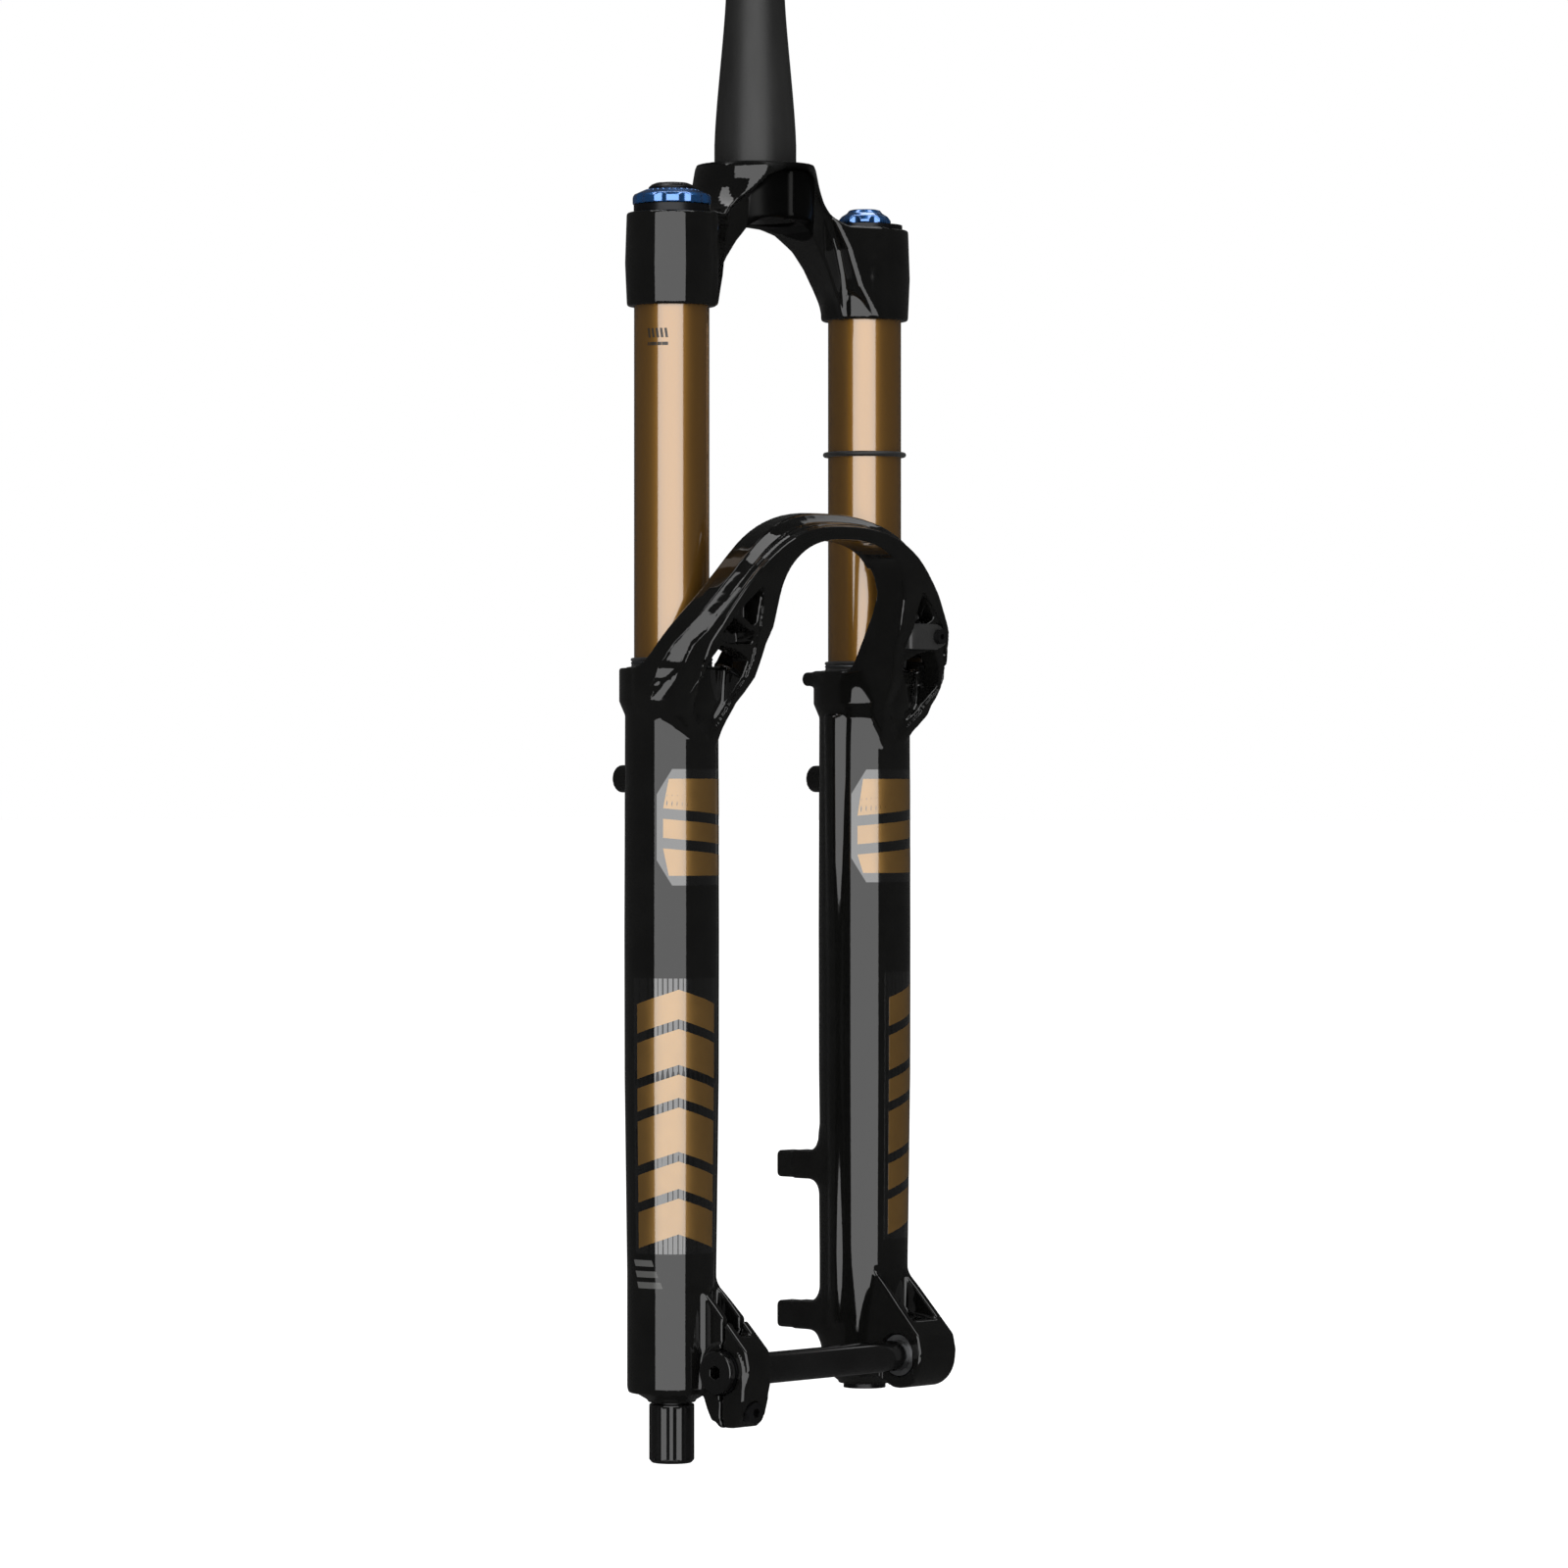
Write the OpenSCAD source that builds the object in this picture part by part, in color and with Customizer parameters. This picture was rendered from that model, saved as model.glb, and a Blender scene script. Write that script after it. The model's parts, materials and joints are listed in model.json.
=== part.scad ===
// Single-crown telescopic suspension fork for a mountain bike.
// +Z runs up along the steerer, -Y is forward, +X is the rider's left.
// The origin is on the steerer's axis, at the crown race seat on top of the crown.
// The right leg holds the damper and the left leg holds the air spring.

/* [Chassis] */
// Outer diameter of the stanchions
stanchion_d = 36; // [35.6:0.1:36.4]
// Distance between the axes of the two legs
leg_spacing = 138; // [137:0.5:139]
// How far the legs sit in front of the steerer's axis
leg_lead = 9.5; // [9:0.5:10]
// Travel of the lower legs
travel = 160; // [100:5:160]
// Distance from the crown race seat down to the wheel's axle
axle_drop = 579; // [577:1:580]
// Distance from the steerer's axis forward to the wheel's axle
axle_lead = 44; // [43:0.5:45]

/* [Steerer] */
// Length of the steerer above the crown race seat
steerer_length = 220; // [180:5:265]
// Diameter of the steerer's straight upper part
steerer_d = 28.6; // [28.4:0.1:28.8]
// Diameter of the crown race seat
race_d = 39.8; // [39.6:0.1:40]
// Height of the crown race seat
race_h = 10; // [8:1:12]
// Height of the taper above the crown race seat
taper_h = 73; // [60:1:80]

/* [Crown] */
// Height of the crown under the steerer
hub_h = 27; // [26:0.5:28]
// Radius of the crown's round top face
hub_r = 29.4; // [28.5:0.1:30]
// Outer radius of the two stanchion sockets
socket_r = 22; // [21.5:0.1:22.3]
// Depth of the socket tops below the crown race seat
socket_top = 28; // [27.5:0.1:28.5]
// Depth of the socket bottoms below the crown race seat
socket_bottom = 72.7; // [71:0.1:74]

/* [Lower legs] */
// Outer radius of the seal collars
collar_r = 25.1; // [24.8:0.1:25.3]
// Outer radius of the legs just under the collars
leg_r = 22.5; // [22.2:0.1:22.7]
// Outer radius of the legs just above the dropouts
foot_r = 21.3; // [21.2:0.1:21.6]
// Depth of the collar tops below the crown race seat
collar_top = 245.2; // [245:0.1:246]
// Depth of the flat leg bottoms below the crown race seat
leg_bottom = 588; // [587:0.5:589]

/* [Axle and brake] */
// Diameter of the through axle
axle_d = 15; // [14.8:0.1:15]
// Distance between the two dropout faces that hold the wheel's hub
hub_width = 110; // [109:0.5:110]
// Distance between the two brake mount holes
brake_spacing = 74.2; // [73:0.1:75]
// Diameter of the drilled brake mount holes
brake_hole_d = 5; // [4.8:0.1:5.2]

/* [Controls] */
// Radius of the high-speed compression dial
dial_r = 18.9; // [18:0.1:19.2]
// Number of grip notches on the dial
dial_notches = 10; // [8:1:14]
// Outer radius of the rebound cover
cover_r = 10.8; // [10.6:0.1:11]

/* [Hidden] */
$fn = 96;
run = 0.05;                            // radial clearance of a running fit
gap = 0.3;                             // clearance between parts that pass each other
st_r = stanchion_d / 2;
st_bore_r = st_r - 1.6;
leg_x = leg_spacing / 2;
leg_y = -leg_lead;
axle_y = -axle_lead;
axle_z = -axle_drop;
axle_r = axle_d / 2;
hub_x = hub_width / 2;
st_top = -socket_top;
st_bottom = -400;                      // lower end of both stanchions
steerer_r = steerer_d / 2;
race_r = race_d / 2;
press_r = race_r - 0.4;                // steerer's radius inside the crown

// Sealing parts on top of each lower leg
wiper_top = 4.9 - collar_top;
wiper_seat_z = -collar_top - 8;
wiper_r = 21.6;
foam_z = wiper_seat_z - 8.5;
bush_r = st_r + run + 1.25;            // outside of the bushings
bush_h = 22;
upper_bush_z = foam_z - 0.5 - bush_h;
lower_bush_z = st_bottom + 8;
leg_bore_r = st_r + 0.8;
floor_z = -565;                        // inside floor of the lower legs
floor_hole_r = 5.2;
boss_h = 4;                            // round boss under each leg

// Damper
shaft_r = 5;
tube_r = 13.5;
tube_bore_r = 12.5;
cap_depth = 18;                        // how deep a top cap goes into its stanchion
cap_bottom = st_top - cap_depth;
spigot_h = 6;
seal_z = st_bottom + 3;                // bottom of both seal heads
seal_h = 12;
stem_r = 4;
base_valve_z = -185;
ifp_z = -142;                          // bottom of the floating piston at full extension
ifp_h = 12;
spring_top = cap_bottom - spigot_h;
spring_bottom = ifp_z + ifp_h;
rod_r = 1.55;
piston_z = -372;                       // bottom of the damper piston at full extension

// Feet
nut_z = -leg_bottom - boss_h - 1;      // top of both foot nuts, under their washers
cover_top = -596;
cover_h = 28.2;
cover_bore_r = 9;

sleeve_x = -72;                        // outer end of the floating axle sleeve

// Arch, above the collars and in front of the crown
arch_top = -170;
arch_rear_y = -38.5;
arch_front_y = -62;
crown_sweep = -236;                    // the crown's sockets come down to here at full travel
collar_edge_z = -collar_top - 1;
clip_screw_x = 73;
clip_y = -52.6;                        // seat of the hose clip
clip_z = -228.6;

// ---------- helpers ----------

// Points along a cubic curve, without its last point
function curve(a, b, c, d, n = 10) = [
    for (i = [0:n - 1]) let (t = i / n, u = 1 - t)
        u * u * u * a + 3 * u * u * t * b + 3 * u * t * t * c + t * t * t * d
];

// Places children at the right leg (-1), at the left leg (1), or at both
module at_leg(side) {
    translate([side * leg_x, leg_y, 0]) children();
}

module at_both_legs() {
    for (side = [-1, 1]) at_leg(side) children();
}

// Upright tube from z0 up by h
module ring(r_out, r_in, z0, h) {
    translate([0, 0, z0]) difference() {
        cylinder(r = r_out, h = h);
        if (r_in > 0) translate([0, 0, -1]) cylinder(r = r_in, h = h + 2);
    }
}

// Cylinder along +X
module x_rod(r, x0, x1, y, z) {
    translate([x0, y, z]) rotate([0, 90, 0]) cylinder(r = r, h = x1 - x0);
}

// Cylinder along +Y
module y_rod(r, x, y0, y1, z) {
    translate([x, y0, z]) rotate([-90, 0, 0]) cylinder(r = r, h = y1 - y0);
}

// Extrudes an outline of [x, z] points along Y
module along_y(y0, y1) {
    translate([0, y1, 0]) rotate([90, 0, 0]) linear_extrude(y1 - y0) children();
}

// Extrudes an outline of [y, z] points along X
module along_x(x0, x1) {
    translate([x0, 0, 0]) rotate([90, 0, 90]) linear_extrude(x1 - x0) children();
}

// ---------- crown assembly ----------

module steerer_tube() {
    wall = 2.2;
    top_bore_r = steerer_r - wall;
    low_bore_r = race_r - wall - 1;
    color("#2b2b2c") rotate_extrude() polygon([
        [low_bore_r, -hub_h], [press_r, -hub_h], [press_r, 0], [race_r, 0], [race_r, race_h],
        [steerer_r, race_h + taper_h],
        [steerer_r, steerer_length - 0.8], [steerer_r - 0.8, steerer_length],
        [top_bore_r, steerer_length], [top_bore_r, race_h + taper_h], [low_bore_r, 0]
    ]);
}

// Front outline of the crown, right half
function crown_half() = concat(
    [[0, 0], [hub_r, 0]],
    curve([hub_r, -3], [hub_r + 1, -12], [leg_x - 32, -socket_top + 6],
          [leg_x - 19, -socket_top - 0.4]),
    [[leg_x - 19, -socket_top - 0.4], [leg_x, -socket_top - 0.4], [leg_x, -socket_bottom],
     [0, -socket_bottom]]
);

module crown() {
    arm_rear = 12;
    arm_front = leg_y - 10.3;
    arch_r = 46.5;
    scoop_r = 26;
    color("#101010") difference() {
        union() {
            intersection() {
                along_y(-hub_r, hub_r) for (side = [0, 1])
                    mirror([side, 0]) polygon(crown_half());
                translate([0, 0, -socket_bottom - 1]) linear_extrude(socket_bottom + 2) {
                    circle(r = hub_r);
                    for (side = [0, 1]) mirror([side, 0]) polygon([
                        [0, hub_r], [12, hub_r - 3], [leg_x - 34, arm_rear],
                        [leg_x, arm_rear - 3], [leg_x, leg_y - socket_r],
                        [leg_x - 22, arm_front], [leg_x - 29, arm_front - 0.5],
                        [12, 3 - hub_r], [0, -hub_r]
                    ]);
                }
            }
            at_both_legs() rotate_extrude() polygon([
                [0, -socket_bottom], [socket_r - 1.5, -socket_bottom],
                [socket_r - 0.5, -socket_bottom + 1.5], [socket_r + 0.2, -50],
                [socket_r - 0.4, -socket_top - 1], [socket_r - 1.4, -socket_top],
                [0, -socket_top]
            ]);
        }
        y_rod(arch_r, 0, -60, 60, -socket_bottom - 1.3);
        translate([0, -hub_r - 14, -30]) rotate([0, 90, 0])
            cylinder(r = scoop_r, h = 54, center = true);
        translate([0, 0, -80]) cylinder(r = press_r, h = 90);
        at_both_legs() translate([0, 0, -80]) cylinder(r = st_r, h = 90);
    }
}

module stanchion(side) {
    color("#b07c32") at_leg(side) ring(st_r, st_bore_r, st_bottom, st_top - st_bottom);
}

module right_stanchion() {
    stanchion(-1);
}

module left_stanchion() {
    stanchion(1);
}

module damper_top_cap() {
    flange_r = 18.2;
    flange_h = 3.6;
    color("#161616") at_leg(-1) difference() {
        union() {
            ring(st_bore_r, 0, cap_bottom, cap_depth);
            ring(flange_r, 0, st_top, flange_h);
            ring(tube_bore_r, 0, cap_bottom - spigot_h, spigot_h);
        }
        translate([0, 0, cap_bottom - spigot_h - 1]) cylinder(r = stem_r, h = spigot_h + 9);
        translate([0, 0, st_top - 4]) cylinder(r = 4 + run, h = flange_h + 5);
    }
}

module damper_cartridge_tube() {
    color("#8f9296") at_leg(-1)
        ring(tube_r, tube_bore_r, seal_z + seal_h, cap_bottom - seal_z - seal_h);
}

// Stem that hangs the base valve from the top cap
module damper_stem() {
    color("#9a9da1") at_leg(-1)
        ring(stem_r, 1.5, base_valve_z - 4, cap_bottom - spigot_h + 8 - base_valve_z + 4);
}

module base_valve() {
    color("#b59a4a") at_leg(-1) difference() {
        union() {
            ring(tube_bore_r, stem_r, base_valve_z, 13);
            ring(6.5, stem_r, base_valve_z - 3.5, 3.5);
        }
        for (i = [0:5]) rotate(60 * i) translate([8.6, 0, base_valve_z - 1])
            cylinder(r = 1.6, h = 20, $fn = 24);
    }
}

// Coil spring above the floating piston, as one swept wire
module ifp_spring() {
    wire_r = 0.9;
    coil_r = 8.5;
    turns = 8;
    steps = 20;
    sides = 8;
    rings = turns * steps;
    z0 = spring_bottom + wire_r + 0.1;
    rise = (spring_top - spring_bottom - 2 * wire_r - 0.2) / rings;
    points = [for (i = [0:rings], k = [0:sides - 1])
        let (a = 360 * i / steps, b = 360 * k / sides, r = coil_r + wire_r * cos(b))
        [r * cos(a), r * sin(a), z0 + rise * i + wire_r * sin(b)]];
    side_faces = [for (i = [0:rings - 1], k = [0:sides - 1])
        let (n = (k + 1) % sides, p = i * sides, q = p + sides)
        [p + k, q + k, q + n, p + n]];
    ends = [[for (k = [0:sides - 1]) k], [for (k = [sides - 1:-1:0]) rings * sides + k]];
    color("#70757a") at_leg(-1) polyhedron(points, concat(side_faces, ends));
}

// Seal head that closes a stanchion's lower end round the moving shaft
module seal_head(side, spigot_r) {
    at_leg(side) difference() {
        union() {
            ring(st_bore_r, 0, seal_z, seal_h);
            ring(spigot_r, 0, seal_z + seal_h, 5);
        }
        translate([0, 0, seal_z - 1]) cylinder(r = shaft_r + run, h = seal_h + 10);
    }
}

module damper_seal_head() {
    color("#333438") seal_head(-1, tube_bore_r);
}

module air_seal_head() {
    color("#3a3f46") seal_head(1, 9);
}

module air_top_cap() {
    valve_r = 3.9;
    color("#191919") at_leg(1) difference() {
        union() {
            ring(st_bore_r, 0, cap_bottom, cap_depth);
            ring(st_r + 0.6, 0, st_top, 2.5);
            ring(valve_r, 0, st_top, 8);
            ring(8, 0, cap_bottom - 25, 25);
        }
        translate([0, 0, cap_bottom - 26]) cylinder(r = 1.4, h = cap_depth + 45);
        translate([0, 0, st_top - 2]) cylinder(r = 2 + run, h = 20);
    }
}

// Snap-on spacers that fill part of the air chamber
module volume_spacers() {
    count = 3;
    spacer_h = 8;
    color("#d8d2c4") at_leg(1) for (i = [0:count - 1])
        ring(15.4, 8, cap_bottom - 0.2 - (i + 1) * spacer_h, spacer_h - 0.2);
}

module top_out_bumper() {
    color("#5a4a3a") at_leg(1) ring(8.6, shaft_r + 0.6, seal_z + seal_h + 5, 9.6);
}

// Wire rings under both seal heads
module seal_head_circlips() {
    color("#777a7d") at_both_legs() difference() {
        ring(st_bore_r, st_bore_r - 2, seal_z - 1.6, 1.3);
        translate([0, 10, seal_z - 3]) cylinder(r = 8, h = 6);
    }
}

// ---------- lower legs ----------

// Front outline of the arch, left half, from the top round the outside to the leg and back
function arch_half() = concat(
    curve([0, arch_top], [45, arch_top], [62, arch_top - 18], [84, arch_top - 48]),
    curve([84, arch_top - 48], [92, arch_top - 59], [94, arch_top - 68], [94, arch_top - 82], 6),
    [[94, -258], [88, -268], [80, -276], [62, -283]],
    curve([62, -283], [50, -262], [46, -238], [44.5, -215]),
    curve([44.5, -215], [44, -193.5], [28, arch_top - 13.3], [0, arch_top - 13.3]),
    [[0, arch_top - 13.3]]
);

// Pocket in the front of each arch arm
function pocket() = concat(
    curve([52, -195], [72, -205], [84, -226], [87, -250]),
    [[84, -262], [68, -266]],
    curve([60, -262], [52, -245], [49.5, -225], [52, -195])
);

module arch() {
    difference() {
        intersection() {
            along_y(arch_front_y - 1, leg_y) for (side = [0, 1])
                mirror([side, 0]) polygon(arch_half());
            along_x(-100, 100) polygon(concat(
                [[leg_y, -290], [leg_y, collar_edge_z], [-14.5, -241.5]],
                curve([-18, -238], [-25, -228], [-38, -210], [-38.5, -190]),
                [[arch_rear_y, arch_top + 1], [arch_front_y + 5, arch_top + 1]],
                curve([arch_front_y, arch_top - 4], [arch_front_y - 1, -205],
                      [arch_front_y + 12, -235], [leg_y - 22, -283])
            ));
        }
        // room for the stanchions and wipers, and for the crown's sockets at full travel
        at_both_legs() {
            translate([0, 0, -collar_top]) cylinder(r = 20.6, h = 60);
            translate([0, 0, crown_sweep]) cylinder(r = socket_r + 1.2, h = 60);
        }
        for (side = [0, 1]) mirror([side, 0, 0]) {
            along_y(arch_front_y - 2, arch_rear_y - 5) polygon(pocket());
            along_y(arch_front_y - 2, leg_y)
                polygon([[64, -232], [72, -232], [74, -240], [64, -240]]);
        }
    }
}

// Outside of one leg from the collar to the foot
module leg_body() {
    rotate_extrude() polygon([
        [0, -leg_bottom - boss_h], [9.4, -leg_bottom - boss_h], [11.8, -leg_bottom],
        [foot_r - 2, -leg_bottom], [foot_r, -leg_bottom + 3], [foot_r, -534], [foot_r + 0.3, -511],
        [leg_r, -441], [leg_r + 0.15, -371], [leg_r, -324], [leg_r - 0.2, -267.5],
        [collar_r - 0.6, -262.5], [collar_r, -261], [collar_r, -collar_top - 0.6],
        [collar_r - 0.6, -collar_top], [0, -collar_top]
    ]);
}

// Inside of one leg: seal seat, bushing bore, oil space and foot hole
module leg_bore() {
    rotate_extrude() polygon([
        [0, -leg_bottom - boss_h - 1], [floor_hole_r, -leg_bottom - boss_h - 1],
        [floor_hole_r, floor_z], [12, floor_z], [leg_bore_r, floor_z + 2],
        [leg_bore_r, lower_bush_z],
        [bush_r, lower_bush_z], [bush_r, foam_z - 0.5], [wiper_r, foam_z - 0.5],
        [wiper_r, -collar_top + 1], [0, -collar_top + 1]
    ]);
}

// Forged web from the leg forward to the axle, as a [y, z] outline
module dropout_outline() {
    lug_r = 16;
    polygon([[leg_y, -530], [-26, -538], [-32, -543.5], [-55.5, -567.5], [-55, -590], [-44, -595],
        [leg_y, -588]]);
    translate([axle_y, axle_z]) circle(r = lug_r);
}

// One dropout on the left side, outer_x is its outside face
module dropout(outer_x) {
    inner_x = hub_x - 2;
    difference() {
        along_x(inner_x, outer_x) dropout_outline();
        // pocket between the two flanges, open at the top
        along_x(hub_x + 4.5, outer_x - 4.5)
            polygon([[-31, -530], [-31, -560], [-44, -560.5], [-70, -562], [-70, -530]]);
    }
}

// Recess on the left side that takes the hub's end cap, open at the bottom
module hub_recess() {
    cap_r = 10.6;
    x_rod(cap_r, hub_x - 4, hub_x, axle_y, axle_z);
    translate([hub_x - 4, axle_y - cap_r, axle_z - 40]) cube([4, 2 * cap_r, 40]);
}

// Ear under the right axle clamp, split by a slot and closed by the pinch bolt
module pinch_ear() {
    along_x(-72, 2 - hub_x)
        polygon([[-58.5, -580], [-58, -596], [-54, -603], [-50, -605.5], [-42, -605.5],
            [-36, -600], [-30, -588], [-30, -580]]);
}

module brake_posts() {
    post_x = 54.5;
    for (z = [-525.1 - brake_spacing / 2, -525.1 + brake_spacing / 2])
        translate([post_x - 7, leg_y + 8, z - 7.1]) cube([14, 39.5 - 8, 14.2]);
    // web that carries both posts on the leg
    translate([post_x - 5.5, leg_y, -575]) cube([13, 18, 100]);
}

module bleed_bosses() {
    at_both_legs() y_rod(6.4, 0, 14, 24, -298);
}

module fender_lugs() {
    for (side = [-1, 1]) y_rod(3.4, side * 50, leg_y - 4, 12, -248.9);
}

module lower_casting() {
    right_outer = 70;
    left_outer = 80;
    clamp_r = 10.5;
    color("#0e0e0e") difference() {
        union() {
            at_both_legs() leg_body();
            arch();
            dropout(left_outer);
            mirror([1, 0, 0]) dropout(right_outer);
            x_rod(13.5, -right_outer - 1, -60, axle_y, axle_z);
            pinch_ear();
            brake_posts();
            bleed_bosses();
            fender_lugs();
            y_rod(4.6, clip_screw_x, clip_y, -40, clip_z);
        }
        at_both_legs() leg_bore();
        for (side = [0, 1]) mirror([side, 0, 0]) hub_recess();
        // axle bores, the slot below the right one and the pinch bolt's hole
        x_rod(clamp_r, -90, -hub_x + 3, axle_y, axle_z);
        x_rod(10, hub_x - 3, 90, axle_y, axle_z);
        translate([-90, axle_y - 0.6, -610]) cube([40, 1.2, 30]);
        y_rod(3.1, -63, -70, -25, -598);
        y_rod(5.2, -63, -70, -54, -598);
        // threaded holes
        for (side = [-1, 1]) {
            y_rod(1.65, side * 50, 4.5, 13, -248.9);
            y_rod(3.2, side * leg_x, 8, 15, -298);
        }
        for (z = [-525.1 - brake_spacing / 2, -525.1 + brake_spacing / 2])
            y_rod(brake_hole_d / 2, 54.5, 14, 31, z);
        y_rod(1.65, clip_screw_x, -54, -40, clip_z);
    }
}

module dust_wipers() {
    lip_r = 19.7;
    color("#141414") at_both_legs() difference() {
        rotate_extrude() polygon([
            [st_r + run, wiper_seat_z], [wiper_r, wiper_seat_z], [wiper_r, -collar_top + 0.4],
            [19.4, -collar_top + 0.7], [19.2, -collar_top + 2], [19.2, wiper_top - 1.6],
            [lip_r, wiper_top - 1.1], [lip_r - 0.3, wiper_top - 0.2], [st_r + 0.7, wiper_top],
            [st_r + run, wiper_top - 0.6]
        ]);
        translate([0, 0, -collar_top + 2.4]) rotate_extrude() translate([19.1, 0]) circle(r = 0.5, $fn = 24);
    }
}

module garter_springs() {
    color("#8b8d90") at_both_legs() translate([0, 0, -collar_top + 2.4])
        rotate_extrude() translate([19.1, 0]) circle(r = 0.45, $fn = 24);
}

module foam_rings() {
    color("#4a4034") at_both_legs() ring(wiper_r, st_r + 0.1, foam_z, 8);
}

module upper_bushings() {
    color("#9b7a48") at_both_legs() ring(bush_r, st_r + run, upper_bush_z, bush_h);
}

module lower_bushings() {
    color("#9b7a48") at_both_legs() ring(bush_r, st_r + run, lower_bush_z, bush_h);
}

module damper_shaft() {
    color("#b9bcc0") at_leg(-1)
        ring(shaft_r, rod_r + run, nut_z - 5, piston_z + 14 - nut_z + 5);
}

module rebound_piston() {
    color("#b59a4a") at_leg(-1) difference() {
        union() {
            ring(tube_bore_r - run, shaft_r, piston_z, 10);
            ring(7.5, shaft_r, piston_z + 10, 3.5);
        }
        for (i = [0:5]) rotate(60 * i) translate([9.6, 0, piston_z - 1])
            cylinder(r = 1.5, h = 12, $fn = 24);
    }
}

module air_shaft() {
    color("#b9bcc0") at_leg(1) ring(shaft_r, 3.2, nut_z + 1, -360 - nut_z - 1);
}

module air_piston() {
    color("#26282b") at_leg(1) difference() {
        union() {
            ring(st_bore_r - run, shaft_r, -370, 16);
            ring(shaft_r + 2, 0, -358, 6);
        }
        rotate_extrude() translate([st_bore_r - 1.5, -363.5]) square([3, 3]);
    }
}

module air_piston_seal() {
    color("#111111") at_leg(1) ring(st_bore_r - 0.02, st_bore_r - 1.5, -363.4, 2.8);
}

module bottom_out_bumpers() {
    color("#3b2f2a") at_both_legs() ring(10, shaft_r + 0.1, floor_z + 0.1, 5.6);
}

module crush_washers() {
    color("#b06a3c") at_both_legs() ring(9, shaft_r + 0.2, nut_z, 1);
}

module damper_foot_nut() {
    color("#141414") at_leg(-1) difference() {
        union() {
            ring(8.6, 0, nut_z - 3.2, 3.2);
            ring(cover_bore_r - run, 0, nut_z - 11, 7.8);
        }
        translate([0, 0, nut_z - 5]) cylinder(r = shaft_r, h = 6);
        translate([0, 0, nut_z - 12]) cylinder(r = rod_r + 0.15, h = 12);
    }
}

module air_foot_bolt() {
    color("#151515") at_leg(1) difference() {
        union() {
            ring(10.4, 0, nut_z - 4.5, 4.5);
            ring(3.2, 0, nut_z, 30);
        }
        translate([0, 0, nut_z - 5]) cylinder(r = 4.62, h = 4, $fn = 6);
    }
}

module bleed_valve_bodies() {
    hex_r = 6;
    color("#101010") at_both_legs() difference() {
        union() {
            translate([0, 24, -298]) rotate([-90, 0, 0]) cylinder(r = hex_r, h = 4.2, $fn = 6);
            y_rod(4.7, 0, 28, 30, -298);
            y_rod(3.2, 0, 21.5, 24.1, -298);
        }
        y_rod(2.6 + run, 0, 22.5, 31, -298);
    }
}

// Bent strap that holds the brake hose on the left arch arm
module hose_clip() {
    sheet = 1.6;
    height = 12.8;
    x0 = 53;
    color("#2a2a2a") difference() {
        union() {
            translate([x0, clip_y - sheet, clip_z - height / 2])
                cube([clip_screw_x - x0, sheet, height]);
            y_rod(height / 2, clip_screw_x, clip_y - sheet, clip_y, clip_z);
            translate([x0, clip_y - sheet, clip_z - height / 2]) cube([sheet, 9, height]);
        }
        y_rod(1.8, clip_screw_x, clip_y - 4, clip_y + 1, clip_z);
    }
}

module hose_clip_screw() {
    head_y = clip_y - 1.6;
    color("#1c1c1c") difference() {
        union() {
            y_rod(3.6, clip_screw_x, head_y - 2.8, head_y, clip_z);
            y_rod(1.65, clip_screw_x, head_y - 0.1, -41, clip_z);
        }
        translate([clip_screw_x, head_y - 3, clip_z]) rotate([-90, 0, 0])
            cylinder(r = 1.45, h = 2.2, $fn = 6);
    }
}

module axle_sleeve() {
    color("#1a1a1a") translate([sleeve_x, axle_y, axle_z]) rotate([0, 90, 0])
        ring(10.5, axle_r + run, 0, -sleeve_x - hub_x);
}

module axle_insert() {
    color("#6d7074") translate([hub_x, axle_y, axle_z]) rotate([0, 90, 0])
        ring(10, axle_r + run, 0, 25);
}

// ---------- pieces that move on their own ----------

module high_speed_compression_dial() {
    z0 = st_top + 3.6 + gap;
    z1 = -17;
    color("#1f5fa8") at_leg(-1) difference() {
        rotate_extrude() polygon([
            [7.6, z0], [dial_r - 0.4, z0], [dial_r, z0 + 0.4], [dial_r, -20], [dial_r - 0.5, -19.5],
            [12.4, z1], [7.6, z1]
        ]);
        for (i = [0:dial_notches - 1]) rotate(360 * i / dial_notches)
            translate([dial_r + 3.4, 0, z0 - 1]) cylinder(r = 4.2, h = 9, $fn = 48);
    }
}

module low_speed_compression_knob() {
    z0 = st_top + 3.6 + gap;
    color("#17181a") at_leg(-1) difference() {
        union() {
            rotate_extrude() polygon([
                [0, z0], [7.3, z0], [7.3, -16.7], [11.1, -16.7], [11.1, -15.4],
                [10.2, -14.3], [8.6, -13.6], [0, -13.6]
            ]);
            ring(4, 0, st_top - 3, 7);
        }
        translate([0, 0, -15.6]) cylinder(r = 2.31, h = 3, $fn = 6);
    }
}

module air_cap() {
    cap_r = 12.9;
    z0 = st_top + 2.5 + gap;
    color("#1f5fa8") at_leg(1) difference() {
        rotate_extrude() polygon([
            [0, z0], [cap_r - 0.6, z0], [cap_r, z0 + 0.8], [cap_r, -23], [11.4, -21.4],
            [8.6, -20.2], [8.2, -18.6], [6.6, -17.7], [0, -17.7]
        ]);
        translate([0, 0, z0 - 1]) cylinder(r = 4.3, h = 6.8);
        for (i = [0:7]) rotate(45 * i) translate([14.6, 0, z0 - 1]) cylinder(r = 3, h = 12, $fn = 32);
    }
}

module air_valve_core() {
    color("#b3a05c") at_leg(1) union() {
        ring(2, 0, st_top + 1, 5.5);
        ring(0.8, 0, st_top + 6.5, 1);
    }
}

module floating_piston() {
    color("#b59a4a") at_leg(-1) ring(tube_bore_r - run, stem_r + run, ifp_z, ifp_h);
}

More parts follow.
